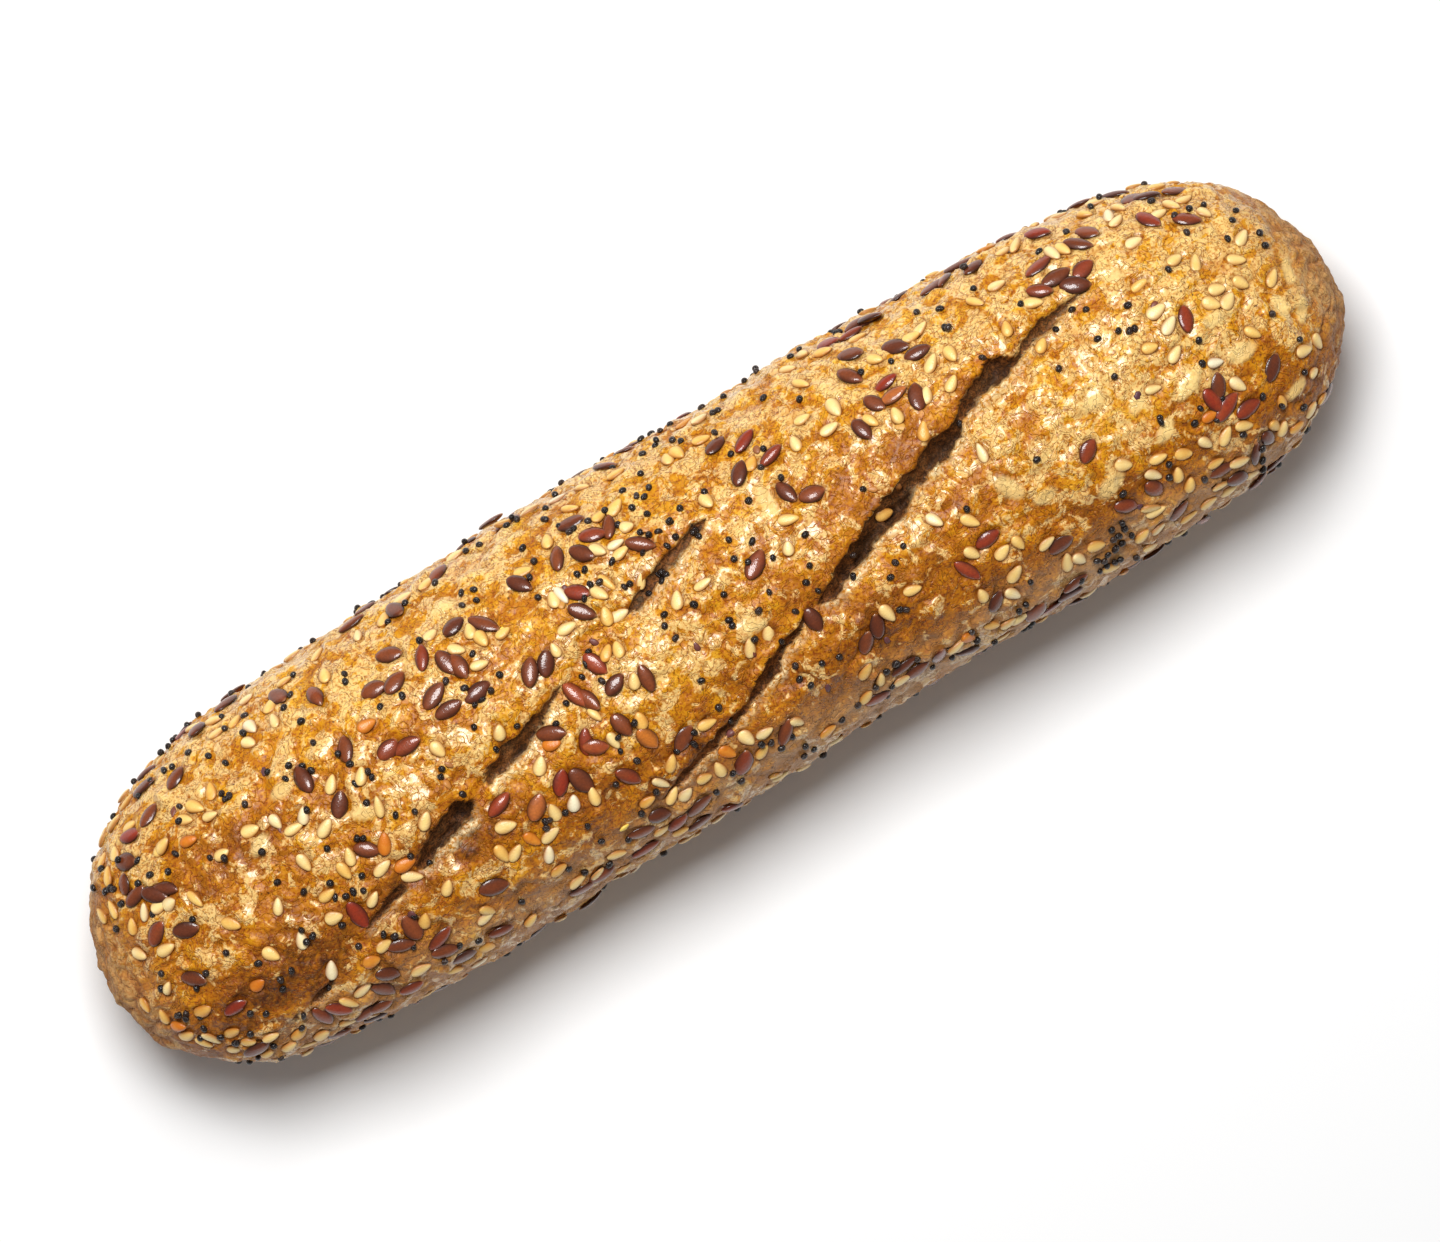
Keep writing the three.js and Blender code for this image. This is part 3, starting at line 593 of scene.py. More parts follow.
def crust_fields(points, dents):
    """The relief of the crust, the depth of the scores and the lean of their lips in millimetres, and what
    the look needs to know about each point."""
    x, y, z = np.moveaxis(points, -1, 0)
    steep = ramp(np.abs(x), 105, 116)
    depth, lip, lean, fringe, broad = score_shape(points)
    warped = points + 1.8 * np.stack([soft_noise(points, 5, 50 + k) for k in range(3)], axis=-1)
    _, _, own = scattered_cells(warped, 5.2, 61)
    puffs = np.abs(soft_noise(warped, 5.4, 73))
    small_puffs = np.abs(soft_noise(warped + 0.5 * points, 3.1, 74))
    crease = np.exp(-((puffs / 0.07) ** 2)) + 0.6 * np.exp(-((small_puffs / 0.06) ** 2))
    crease = np.minimum(1, crease * ramp(soft_noise(points, 13, 62), -0.6, 0.1))
    blister, _, blister_own = scattered_cells(points, 2.6, 63)
    blisters = ramp(blister, 0.42, 0.1) * (blister_own > 0.45)
    wrinkles = spots(x, y, WRINKLED) * np.sin((0.6 * x - 0.8 * y) / 0.75 + 2.5 * soft_noise(points, 7, 64))
    relief = (
        0.75 * soft_noise(points, 24, 65)
        + 0.6 * layered_noise(points, 9, 66, layers=2)
        + 1.0 * puffs
        + 0.55 * small_puffs
        + 0.22 * layered_noise(points, 2.4, 69, layers=2)
        - 0.1 * crease
        + 0.1 * blisters
        + 0.28 * wrinkles
        + lip
        + broad * ramp(depth, 0.3, 0)
    )
    torn = ramp(soft_noise(points, 2.2, 71) + 0.5 * soft_noise(points, 1.1, 72), -0.2, 0.5)
    relief = relief + 0.4 * torn * np.maximum(ramp(depth, 0.4, 1.5), fringe)
    ghost = np.zeros(x.shape)
    for ghost_x, ghost_y, *facts in GHOSTS:
        press(points, ghost, ghost_x, angle_above(ghost_x, ghost_y), *facts, depth=-0.2, rim=-0.1)
    seat = np.zeros(x.shape)
    for at in dents:
        press(points, seat, *at, depth=0.24, rim=0.14)
    relief = relief + ghost + seat
    bake_and_shade = (
        0.4
        + 0.22 * spots(x, y, BAKED)
        + 0.2 * layered_noise(points, 14, 80)
        + 0.14 * soft_noise(points, 5, 84)
        + 0.55 * lip
        # Painted shade and light by side: darker from the middle down the -Y flank, which faces away from the
        # key light; paler near that flank's foot and towards the lit +Y edge.
        + 0.28 * ramp(y, -3, -19)
        - 0.1 * ramp(y, -20, -26)
        - 0.1 * ramp(y, 12, 26)
        + 0.15 * crease
        + 0.3 * (0.25 - puffs)
        + 0.1 * (own - 0.5)
    )
    marks = {
        "bake_and_shade": bake_and_shade,
        "crease": crease,
        # Painted shade in the scores: their walls are browned and darkened, and their deepest parts turned
        # nearly black.
        "cut": ramp(depth, 0.06, 0.4),
        "hollow_shade": ramp(depth, 2.4, 4.0),
        "torn": (0.4 + 0.6 * torn) * fringe,
        "tip": steep,
        # Painted shadow: how deep each seed's seat is, which the look darkens like a contact shadow.
        "dent": np.clip(-seat / 0.5, 0, 0.6),
        "ghost": np.clip(ghost / 0.2, 0, 1),
        "own": own,
        # Paler and duller near the base, and on the lower -Y flank away from the key light, where it is
        # painted light in the shade.
        "low": np.maximum(ramp(z, 12, 1), (0.37 + 0.12 * ramp(x, -40, 20)) * ramp(y, -18, -26)),
    }
    return relief, depth, lean, marks


def make_crust(dents):
    """The skin's points as a grid of stations by section points, and its marks."""
    x = station_places()[:, None]
    angle = grid_angles()
    points = crust_round(x, angle)
    out = crust_normal(x, angle)
    relief, depth, lean, marks = crust_fields(points, dents)
    free = ramp(points[..., 2], 0.1, 3.5)
    skin = points + (free * (PROUD + relief))[..., None] * out
    skin[..., 2] -= free * depth
    skin[..., 0] -= LEAN * math.sin(math.radians(SCORE_SLOPE)) * lean
    skin[..., 1] -= LEAN * math.cos(math.radians(SCORE_SLOPE)) * lean
    skin[..., 2] = np.maximum(skin[..., 2], 0)
    return skin, marks


def grid_faces(stations, around):
    """Quads between neighbouring rings, each starting at the corner whose diagonal runs the way the scores
    do. Points are numbered ring by ring."""
    ring = np.arange(stations - 1)[:, None] * around
    k = np.arange(around)[None, :]
    after = (k + 1) % around
    quads = np.stack([ring + after, ring + around + after, ring + around + k, ring + k], axis=-1)
    return quads.reshape(-1, 4)


def new_mesh(name, points, faces, marks, corner_uv):
    """A smooth mesh object in the scene, from points in the loaf's own millimetres."""
    mesh = bpy.data.meshes.new(name)
    mesh.from_pydata(((points + SHIFT) * MM).tolist(), [], faces)
    for mark, values in marks.items():
        attribute = mesh.attributes.new(mark, "FLOAT", "POINT")
        attribute.data.foreach_set("value", np.asarray(values, np.float32).ravel())
    layer = mesh.uv_layers.new(name="OFBake")
    layer.data.foreach_set("uv", np.asarray(corner_uv, np.float32).ravel())
    mesh.shade_smooth()
    thing = bpy.data.objects.new(name, mesh)
    bpy.context.scene.collection.objects.link(thing)
    return thing


def closed_grid(grid, first_tip, last_tip):
    """Points and faces of rings closed by a fan at each end."""
    stations, around = grid.shape[:2]
    points = np.concatenate([grid.reshape(-1, 3), [first_tip, last_tip]])
    faces = grid_faces(stations, around).tolist()
    first, last = len(points) - 2, len(points) - 1
    top = (stations - 1) * around
    for k in range(around):
        after = (k + 1) % around
        faces.append((first, after, k))
        faces.append((last, top + k, top + after))
    return points, faces


def grid_uv(stations, around):
    """Where each corner of `closed_grid`'s faces falls in a unit square."""
    u = (np.arange(stations) + 1) / (stations + 1)
    v = np.arange(around + 1) / around
    low_u, high_u = u[:-1, None], u[1:, None]
    low_v, high_v = v[None, :-1], v[None, 1:]
    low_u, high_u, low_v, high_v = np.broadcast_arrays(low_u, high_u, low_v, high_v)
    quads = np.stack([low_u, high_v, high_u, high_v, high_u, low_v, low_u, low_v], axis=-1).reshape(-1, 2)
    fans = []
    for k in range(around):
        middle = (v[k] + v[k + 1]) / 2
        fans += [(0, middle), (u[0], v[k + 1]), (u[0], v[k])]
        fans += [(1, middle), (u[-1], v[k]), (u[-1], v[k + 1])]
    return np.concatenate([quads, fans])


# ---- Seeds ------------------------------------------------------------------------------------------

# Sizes in millimetres, points along a seed and round it, and how far it sinks into the crust.
KINDS = {
    "flax": {"size": (4.9, 2.9, 1.1), "rings": 13, "sides": 16, "sink": 0.2},
    "sesame": {"size": (3.35, 2.15, 0.95), "rings": 11, "sides": 14, "sink": 0.2},
    "poppy": {"size": (1.35, 1.2, 1.1), "rings": 7, "sides": 12, "sink": 0.25},
    "crumb": {"size": (1.7, 1.1, 0.45), "rings": 5, "sides": 8, "sink": 0.2},
}
SIZE_SPREAD = 0.09  # seeds differ this much in length, width and thickness
# The dark rim is painted shade on flax seeds, and partly painted shade on sesame seeds.
RIM_POWER = 2.4  # how narrow the dark rim of a seed is
UNEVEN = 0.07  # how much seeds tilt at random
FOOTING = 0.34  # a seed rests on the crust at this share of its size on each side of its middle
HEAPING = 0.55  # share of its thickness by which each seed under it lifts a seed


def seed_shape(kind, rng):
    """One seed's rings, tips, and marks along it and at its rim: X to its pointed end, Z out of the crust."""
    facts = KINDS[kind]
    spread = (1 + SIZE_SPREAD * rng.standard_normal(3)).clip(0.75, 1.25)
    length, width, thick = np.array(facts["size"]) * spread
    turn = np.linspace(0, math.pi, facts["rings"] + 2)[1:-1]
    s = -np.cos(turn)[:, None]
    around = (np.arange(facts["sides"]) / facts["sides"] * 2 * math.pi)[None, :]
    c, up = np.cos(around), np.sin(around)
    bulge = rng.uniform(-0.06, 0.06)
    if kind == "flax":
        plan = np.where(s < 0, np.sqrt(1 - s**2), (1 - np.abs(s) ** 1.9) ** 0.72)
        bend = rng.uniform(0.05, 0.13) * np.maximum(s, 0) ** 3 * rng.choice((-1, 1))
        y = width / 2 * (c * plan * (1 - bulge * s) + bend)
        dish = 1 - rng.uniform(-0.1, 0.16) * np.exp(-((c / 0.5) ** 2) - (s / 0.6) ** 2)
        z = thick / 2 * np.sign(up) * (1 - np.abs(c) ** 2.5) ** 0.85 * plan**0.8 * np.where(up > 0, dish, 1)
    elif kind == "sesame":
        plan = np.sqrt(1 - s**2) * (1 - (0.3 + bulge) * s) * 0.97
        y = width / 2 * c * plan
        z = thick / 2 * np.sign(up) * np.abs(up) ** 1.1 * np.sqrt(1 - s**2) ** 0.85 * (1 - 0.15 * s)
    elif kind == "poppy":
        plan = np.sqrt(1 - s**2)
        notch = 0.16 * np.exp(-((s / 0.4) ** 2)) * np.maximum(c, 0) ** 2
        y = width / 2 * (c * plan - notch)
        z = thick / 2 * up * plan
    else:
        plan = np.sqrt(1 - s**2) * (1 + 0.3 * rng.uniform(-1, 1, s.shape))
        y = width / 2 * c * plan * (1 + 0.25 * rng.uniform(-1, 1, c.shape))
        z = thick / 2 * up * plan * (1 + 0.4 * rng.uniform(-1, 1, c.shape))
    x = np.broadcast_to(length / 2 * s, y.shape)
    curl = rng.uniform(-0.12, 0.12) * thick
    z = z + curl * (s**2 - 0.4)
    grid = np.stack([x, y, np.broadcast_to(z, y.shape)], axis=-1)
    tip_bend = bend[-1, 0] * width / 2 if kind == "flax" else 0
    tips = np.array([[-length / 2, 0, 0.6 * curl], [length / 2, tip_bend, 0.6 * curl]])
    along, rim = (s + 1) / 2, np.abs(c) ** RIM_POWER
    marks = {"along": np.broadcast_to(along, y.shape), "rim": np.broadcast_to(rim, y.shape)}
    return grid, tips, marks, (length, width, thick)


class Pile:
    """Seeds gathered into one mesh."""

    def __init__(self):
        self.points, self.faces, self.cells = [], [], []
        self.marks = {"along": [], "rim": [], "tint": []}
        self.count = 0

    def add(self, kind, frame_of, tint, rng):
        """Adds a seed. `frame_of` says where a seed of that size lies: its centre and its three axes."""
        grid, tips, marks, size = seed_shape(kind, rng)
        centre, axes = frame_of(size)
        points, faces = closed_grid(grid, *tips)
        self.faces += [[i + self.count for i in face] for face in faces]
        self.points.append(points @ axes + centre)
        self.count += len(points)
        self.marks["along"].append(np.concatenate([marks["along"].ravel(), [0, 1]]))
        self.marks["rim"].append(np.concatenate([marks["rim"].ravel(), [1, 1]]))
        self.marks["tint"].append(np.full(len(points), tint))
        self.cells.append(grid_uv(*grid.shape[:2]))

    def mesh(self, name):
        across = math.ceil(math.sqrt(len(self.cells)))
        uv = []
        for i, cell in enumerate(self.cells):
            corner = np.array([i % across, i // across])
            uv.append((corner + 0.04 + 0.92 * cell) / across)
        marks = {mark: np.concatenate(values) for mark, values in self.marks.items()}
        return new_mesh(name, np.concatenate(self.points), self.faces, marks, np.concatenate(uv))


class Ground:
    """The finished crust as something to lay seeds on."""

    def __init__(self, skin, faces):
        self.tree = BVHTree.FromPolygons(skin.tolist(), faces)
        self.laid = []

    def under(self, point, out):
        """Where the crust is below a point, looking back along `out`."""
        hit = self.tree.ray_cast(Vector(point + 7 * out), Vector(-out), 16)[0]
        return np.array(hit) if hit is not None else point

    def lie(self, point, out, heading, kind, rng, sink=None):
        """A function that gives the centre and the axes of a seed lying on the crust near `point`."""
        across = np.cross(out, heading)
        tilt = rng.normal(0, UNEVEN, 2)
        sunk = KINDS[kind]["sink"] if sink is None else sink
        crowd = sum(1 for other, reach in self.laid if np.linalg.norm(other - point) < reach)

        def frame_of(size):
            length, width, thick = size
            fore = self.under(point + FOOTING * length * heading, out)
            back = self.under(point - FOOTING * length * heading, out)
            left = self.under(point + FOOTING * width * across, out)
            right = self.under(point - FOOTING * width * across, out)
            level = unit(np.cross(fore - back, left - right))
            up = unit(level + 0.6 * out + tilt[0] * heading + tilt[1] * across)
            along = unit(heading - np.dot(heading, up) * up)
            middle = (fore + back + left + right + 2 * self.under(point, out)) / 6
            lift = thick / 2 * (1 - 2 * sunk) + HEAPING * thick * min(crowd, 2)
            return middle + lift * up, np.stack([along, np.cross(up, along), up])

        self.laid.append((point, 0.42 * KINDS[kind]["size"][1] + 0.3))
        return frame_of


def same_place(x, y, at):
    """Whether a listed place is meant, allowing for rounding."""
    return math.hypot(x - at[0], y - at[1]) < 0.8


def tint_of(kind, x, y, rng):
    for at_x, at_y, tint in {"flax": ODD_FLAX, "sesame": ODD_SESAME}.get(kind, ()):
        if same_place(x, y, (at_x, at_y)):
            return tint
    usual = {"flax": (0.22, 0.16), "sesame": (0.42, 0.14), "poppy": (0.5, 0.25), "crumb": (0.5, 0.4)}
    return float(np.clip(rng.normal(*usual[kind]), 0, 1))


def seed_turns(kind):
    """Every listed place of a kind, with a turn and its angle round the loaf; poppy seeds turn anyhow."""
    rng = np.random.default_rng(7)
    places = {"flax": FLAX, "sesame": SESAME, "poppy": POPPY}[kind]
    turned = [(*at, rng.uniform(0, 180)) if len(at) == 2 else at for at in places]
    return [(*at, lying_angle(at[0], at[1], rng)) for at in turned]


def lying_angle(x, y, rng):
    """Where a listed seed lies round the section. Those on the loaf's outline are spread up and down its
    flank."""
    angle = angle_above(x, y)
    outer = ramp(abs(y - midline(x)) / half_width(x), 0.93, 0.99)
    lower = outer * rng.uniform(-0.16, 0.3)
    return angle - lower if angle < math.pi / 2 else angle + lower


def cad_seed_lie(node):
    """Centre of a CAD seed, the direction of its tip and the direction out of the crust."""
    flat = np.empty(len(node.data.vertices) * 3)
    node.data.vertices.foreach_get("co", flat)
    points = flat.reshape(-1, 3) / MM - SHIFT
    centre = points.mean(axis=0)
    axes = np.linalg.eigh(np.cov((points - centre).T))[1]
    out, heading = axes[:, 0], axes[:, 2]
    if out @ (centre - (centre[0], midline(centre[0]), WAIST)) < 0:
        out = -out
    ahead = (points - centre) @ heading
    girth = np.linalg.norm(points - centre - ahead[:, None] * heading, axis=1)
    if girth[ahead > 0].max() > girth[ahead < 0].max():
        heading = -heading
    return centre, heading, out


# Seeds on the lower flanks, which the lists don't cover: kind, how many, and the heights they lie between.
LOW_SEEDS = (("flax", 62, 5, 20), ("sesame", 150, 3, 21), ("poppy", 190, 2, 22))
SEED_FREE_END = 106  # they lie between this and its negative along the loaf


def low_places():
    """Seeded random places on both flanks, thinning out towards the base."""
    rng = np.random.default_rng(23)
    angles = np.linspace(-0.9, 0.25, 400)
    places = []
    for kind, count, lowest, highest in LOW_SEEDS:
        laid = 0
        while laid < count:
            x = rng.uniform(-SEED_FREE_END, SEED_FREE_END)
            side = rng.random() < 0.45
            height = lowest + (highest - lowest) * rng.random() ** 0.75
            heights = crust_round(x, angles)[:, 2]
            angle = float(np.interp(height, heights, angles))
            angle = angle if side else math.pi - angle
            at = crust_round(x, angle)
            clear = 0.5 * KINDS[kind]["size"][0]
            if all(np.linalg.norm(at - other) > clear + reach for _, _, _, _, other, reach in places):
                places.append((kind, x, angle, rng.uniform(0, 360), at, clear))
                laid += 1
    return places


def heading_any(out, turn):
    """A direction in the crust, `turn` degrees from the loaf's length."""
    along = unit(np.array([1.0, 0, 0]) - out[0] * out)
    across = np.cross(out, along)
    return math.cos(math.radians(turn)) * along + math.sin(math.radians(turn)) * across


# ---- Looks --------------------------------------------------------------------------------------------


def tone(red, green, blue):
    """A colour given as 0 to 255 on a screen, as the linear colour a shader takes."""
    parts = (np.array([red, green, blue]) / 255).clip(0, 1)
    linear = np.where(parts <= 0.04045, parts / 12.92, ((parts + 0.055) / 1.055) ** 2.4)
    return (*(float(part) for part in linear), 1.0)


class Look:
    """A material and a short way to write its nodes. Sizes are millimetres."""

    def __init__(self, name):
        self.material = bpy.data.materials.new(name)
        self.material.use_nodes = True
        self.tree = self.material.node_tree
        self.tree.nodes.clear()
        place = self.node("ShaderNodeTexCoord").outputs["Object"]
        scaled = self.node("ShaderNodeVectorMath", {0: place, "Scale": 1 / MM}, operation="SCALE")
        self.place = scaled.outputs[0]

    def node(self, kind, inputs=None, **settings):
        node = self.tree.nodes.new(kind)
        for name, value in settings.items():
            setattr(node, name, value)
        for name, value in (inputs or {}).items():
            if isinstance(value, bpy.types.NodeSocket):
                self.tree.links.new(value, node.inputs[name])
            else:
                node.inputs[name].default_value = value
        return node

    def given(self, name):
        return self.node("ShaderNodeAttribute", attribute_name=name).outputs["Fac"]

    def sum(self, operation, first, second=0.0, third=0.0):
        return self.node("ShaderNodeMath", {0: first, 1: second, 2: third}, operation=operation).outputs[0]

    def add(self, *terms):
        total = terms[0]
        for term in terms[1:]:
            total = self.sum("ADD", total, term)
        return total

    def times(self, first, second):
        return self.sum("MULTIPLY", first, second)

    def moved(self, shift):
        step = (shift, 1.7 * shift, 0.6 * shift)
        return self.node("ShaderNodeVectorMath", {0: self.place, 1: step}, operation="ADD").outputs[0]

    def noise(self, size, detail=2.0, roughness=0.5, shift=0.0, warp=0.0):
        """Noise from 0 to 1 with features about `size` across."""
        inputs = {"Vector": self.moved(shift), "Scale": 1 / size, "Detail": detail, "Roughness": roughness}
        return self.node("ShaderNodeTexNoise", {**inputs, "Distortion": warp}).outputs["Fac"]

    def swing(self, amount, *args, **more):
        """Noise from about -amount to amount."""
        return self.sum("MULTIPLY_ADD", self.noise(*args, **more), 2 * amount, -amount)

    def cells(self, size, feature="F1", shift=0.0):
        inputs = {"Vector": self.moved(shift), "Scale": 1 / size}
        return self.node("ShaderNodeTexVoronoi", inputs, feature=feature).outputs["Distance"]

    def span(self, value, low, high, to_low=0.0, to_high=1.0):
        """`value` from low..high to to_low..to_high, smoothly and held at both ends."""
        if low > high:
            low, high, to_low, to_high = high, low, to_high, to_low
        inputs = {0: value, 1: low, 2: high, 3: to_low, 4: to_high}
        return self.node("ShaderNodeMapRange", inputs, interpolation_type="SMOOTHSTEP").outputs[0]

    def mix(self, share, first, second, blend="MIX"):
        inputs = {0: share, 6: first, 7: second}
        return self.node("ShaderNodeMix", inputs, data_type="RGBA", blend_type=blend).outputs[2]

    def ramp(self, value, *stops):
        node = self.node("ShaderNodeValToRGB", {0: value})
        for i, (place, colour) in enumerate(stops):
            stop = node.color_ramp.elements[i] if i < 2 else node.color_ramp.elements.new(place)
            stop.position = place
            stop.color = colour
        return node.outputs[0]

    def bump(self, height, distance, under=None):
        inputs = {"Height": height, "Distance": distance * MM, "Strength": 1.0}
        if under is not None:
            inputs["Normal"] = under
        return self.node("ShaderNodeBump", inputs).outputs["Normal"]

    def finish(self, **inputs):
        inputs = {name.replace("_", " "): value for name, value in inputs.items()}
        shader = self.node("ShaderNodeBsdfPrincipled", inputs)
        out = self.node("ShaderNodeOutputMaterial")
        self.tree.links.new(shader.outputs[0], out.inputs[0])
        return self.material


def crust_look():
    look = Look("crust")
    # The baking colour, which also carries painted shade and light by side, plus noise.
    bake_and_shade = look.add(
        look.given("bake_and_shade"),
        look.swing(0.3, 7, detail=2, shift=11),
        look.swing(0.32, 2.3, detail=2, roughness=0.6, shift=31, warp=0.8),
        look.swing(0.18, 0.7, detail=1, shift=53),
    )
    colour = look.ramp(
        bake_and_shade,
        (0.0, tone(248, 208, 116)),
        (0.2, tone(236, 176, 48)),
        (0.42, tone(212, 144, 12)),
        (0.6, tone(188, 115, 6)),
        (0.8, tone(146, 82, 10)),
        (1.0, tone(84, 44, 12)),
    )
    # Thin lines where the baked film has crinkled.
    folds = look.noise(2.2, detail=2, roughness=0.5, shift=47, warp=1.0)
    folds = look.sum("ABSOLUTE", look.sum("SUBTRACT", folds, 0.5))
    fold = look.span(folds, 0.022, 0.0)
    # Pale patches of painted sheen, where the film also gets a real glossy coat, with golden crust between
    # them.
    film_and_painted_sheen = look.noise(4.2, detail=3, roughness=0.62, shift=71, warp=1.1)
    film_and_painted_sheen = look.add(film_and_painted_sheen, look.times(look.given("own"), 0.08))
    film_and_painted_sheen = look.add(film_and_painted_sheen, look.times(look.sum("SUBTRACT", 0.45, bake_and_shade), 0.35))
    film_and_painted_sheen = look.span(film_and_painted_sheen, 0.51, 0.58)
    colour = look.mix(look.times(film_and_painted_sheen, 0.78), colour, tone(246, 210, 136))
    net = look.span(look.cells(3.1, "DISTANCE_TO_EDGE", shift=5), 0.12, 0.0)
    seam = look.sum("MAXIMUM", look.times(net, 0.3), look.times(look.given("crease"), 0.7))
    colour = look.mix(seam, colour, tone(194, 119, 12))
    colour = look.mix(look.times(fold, 0.65), colour, tone(162, 95, 12))
    # Fine pores and grain.
    pores = look.span(look.cells(0.8, shift=29), 0.32, 0.14)
    pores = look.times(pores, look.span(look.noise(3, shift=13), 0.4, 0.55))
    colour = look.mix(look.times(pores, 0.65), colour, tone(140, 72, 6))
    grain = look.noise(0.55, detail=2, roughness=0.6, shift=19, warp=0.8)
    shade = look.ramp(grain, (0.38, tone(200, 150, 76)), (0.51, tone(255, 255, 255)))
    colour = look.mix(0.8, colour, shade, "MULTIPLY")
    # The dull ends; painted shadow in the seats round the seeds; and a paler, duller tone near the base,
    # which on the lower -Y flank is painted light in the shade away from the key.
    end = look.noise(1.6, detail=3, roughness=0.7, shift=90)
    end = look.ramp(end, (0.35, tone(126, 76, 40)), (0.65, tone(196, 140, 84)))
    colour = look.mix(look.times(look.given("tip"), 0.75), colour, end)
    # Painted shadow: the seats round the seeds are darkened as if by their contact shadows.
    colour = look.mix(look.times(look.given("dent"), 1.1), colour, tone(120, 58, 8))
    colour = look.mix(look.times(look.given("ghost"), 0.65), colour, tone(250, 216, 140))
    base = look.noise(5, detail=4, shift=15)
    base = look.ramp(base, (0.35, tone(196, 144, 84)), (0.65, tone(226, 192, 144)))
    # The paler, duller tone near the base is the crust's own; on the lower -Y flank it is painted light in
    # the shade away from the key.
    colour = look.mix(look.times(look.given("low"), 0.8), colour, base)
    # Inside the scores: brown walls darkened partly by painted shade, deepest parts turned nearly black by
    # painted shade, and torn crumb on the gentle side.
    strands = look.noise(0.7, detail=3, roughness=0.7, shift=41, warp=1)
    wall_brown_and_shade = look.ramp(strands, (0.42, tone(54, 29, 12)), (0.62, tone(132, 80, 38)))
    colour = look.mix(look.times(look.given("cut"), 0.95), colour, wall_brown_and_shade)
    # Painted shade: the deepest parts of the scores go nearly black.
    colour = look.mix(look.times(look.given("hollow_shade"), 0.7), colour, tone(40, 21, 9))
    crumb = look.noise(0.6, detail=2, shift=63)
    crumb = look.ramp(crumb, (0.38, tone(200, 134, 44)), (0.6, tone(255, 232, 180)))
    colour = look.mix(look.times(look.given("torn"), 0.95), colour, crumb)
    # Bran specks.
    specks = look.span(look.cells(2.1, shift=7), 0.14, 0.07)
    specks = look.times(specks, look.span(look.noise(6, shift=3), 0.45, 0.6))
    colour = look.mix(look.times(specks, 0.7), colour, tone(80, 40, 16))
    matt = look.sum("MAXIMUM", look.given("tip"), look.given("cut"))
    # Flat facets of film with creases between them, and a gentle grain.
    facets = look.add(look.span(folds, 0.0, 0.035), look.times(look.noise(2.8, detail=1, shift=59), 5))
    folded = look.bump(facets, 0.1)
    fine = look.bump(look.noise(0.7, detail=1, shift=37), 0.17, folded)
    dull = look.times(look.sum("SUBTRACT", 1.0, film_and_painted_sheen), 0.16)
    return look.finish(
        Base_Color=colour,
        Roughness=look.sum("MAXIMUM", look.add(0.3, dull), look.times(matt, 0.7)),
        Specular_IOR_Level=0.28,
        Normal=fine,
        Coat_Weight=look.times(look.add(0.05, look.times(film_and_painted_sheen, 0.6)), look.sum("SUBTRACT", 1.0, matt)),
        Coat_Roughness=0.2,
        Coat_Normal=folded,
    )


def flax_look():
    look = Look("flax")
    tint = look.add(look.given("tint"), look.swing(0.1, 1.6, shift=3))
    colour = look.ramp(
        tint,
        (0.0, tone(106, 48, 22)),
        (0.25, tone(140, 68, 30)),
        (0.55, tone(156, 48, 22)),
        (0.8, tone(180, 96, 46)),
        (1.0, tone(214, 122, 40)),
    )
    # Painted shade: the seed darkens towards its rim, where its edge turns away from the light.
    colour = look.mix(look.times(look.given("rim"), 0.9), colour, tone(34, 12, 6))
    pale_tip = look.span(look.given("along"), 0.9, 0.99)
    colour = look.mix(look.times(pale_tip, 0.6), colour, tone(176, 122, 80))
    streaks = look.noise(0.35, detail=2, shift=9)
    streaks = look.ramp(streaks, (0.3, tone(140, 140, 140)), (0.7, tone(255, 255, 255)))
    colour = look.mix(0.35, colour, streaks, "MULTIPLY")
    bump = look.bump(look.noise(0.4, detail=2, shift=21), 0.04)
    return look.finish(
        Base_Color=colour,
        Roughness=look.span(look.noise(1.2, shift=2), 0.3, 0.7, 0.34, 0.5),
        Specular_IOR_Level=0.25,
        Normal=bump,
        Coat_Weight=0.7,
        Coat_Roughness=0.1,
        Coat_Normal=bump,
    )


def sesame_look():
    look = Look("sesame")
    tint = look.add(look.given("tint"), look.swing(0.16, 1.3, shift=3))
    colour = look.ramp(
        tint,
        (0.0, tone(246, 234, 198)),
        (0.3, tone(250, 220, 150)),
        (0.55, tone(246, 200, 108)),
        (0.8, tone(230, 158, 56)),
        (1.0, tone(214, 118, 24)),
    )
    # A darker rim, partly the seed's own colour and partly painted shade at its edge.
    colour = look.mix(look.times(look.given("rim"), 0.9), colour, tone(160, 86, 18))
    tip = look.span(look.given("along"), 0.86, 1.0)
    colour = look.mix(look.times(tip, 0.5), colour, tone(160, 94, 36))
    bump = look.bump(look.noise(0.32, detail=2, shift=21), 0.06)
    return look.finish(Base_Color=colour, Roughness=0.36, Normal=bump)


def poppy_look():
    look = Look("poppy")
    shades = (0.0, tone(16, 9, 7)), (0.6, tone(28, 18, 14)), (1.0, tone(54, 38, 30))
    colour = look.ramp(look.given("tint"), *shades)
    pits = look.cells(0.26, "DISTANCE_TO_EDGE", shift=4)
    colour = look.mix(look.span(pits, 0.0, 0.12, 0.4, 0.0), colour, tone(58, 43, 38))
    bump = look.bump(look.span(pits, 0.0, 0.14, 1.0, 0.0), 0.03)
    return look.finish(Base_Color=colour, Roughness=0.24, Normal=bump)


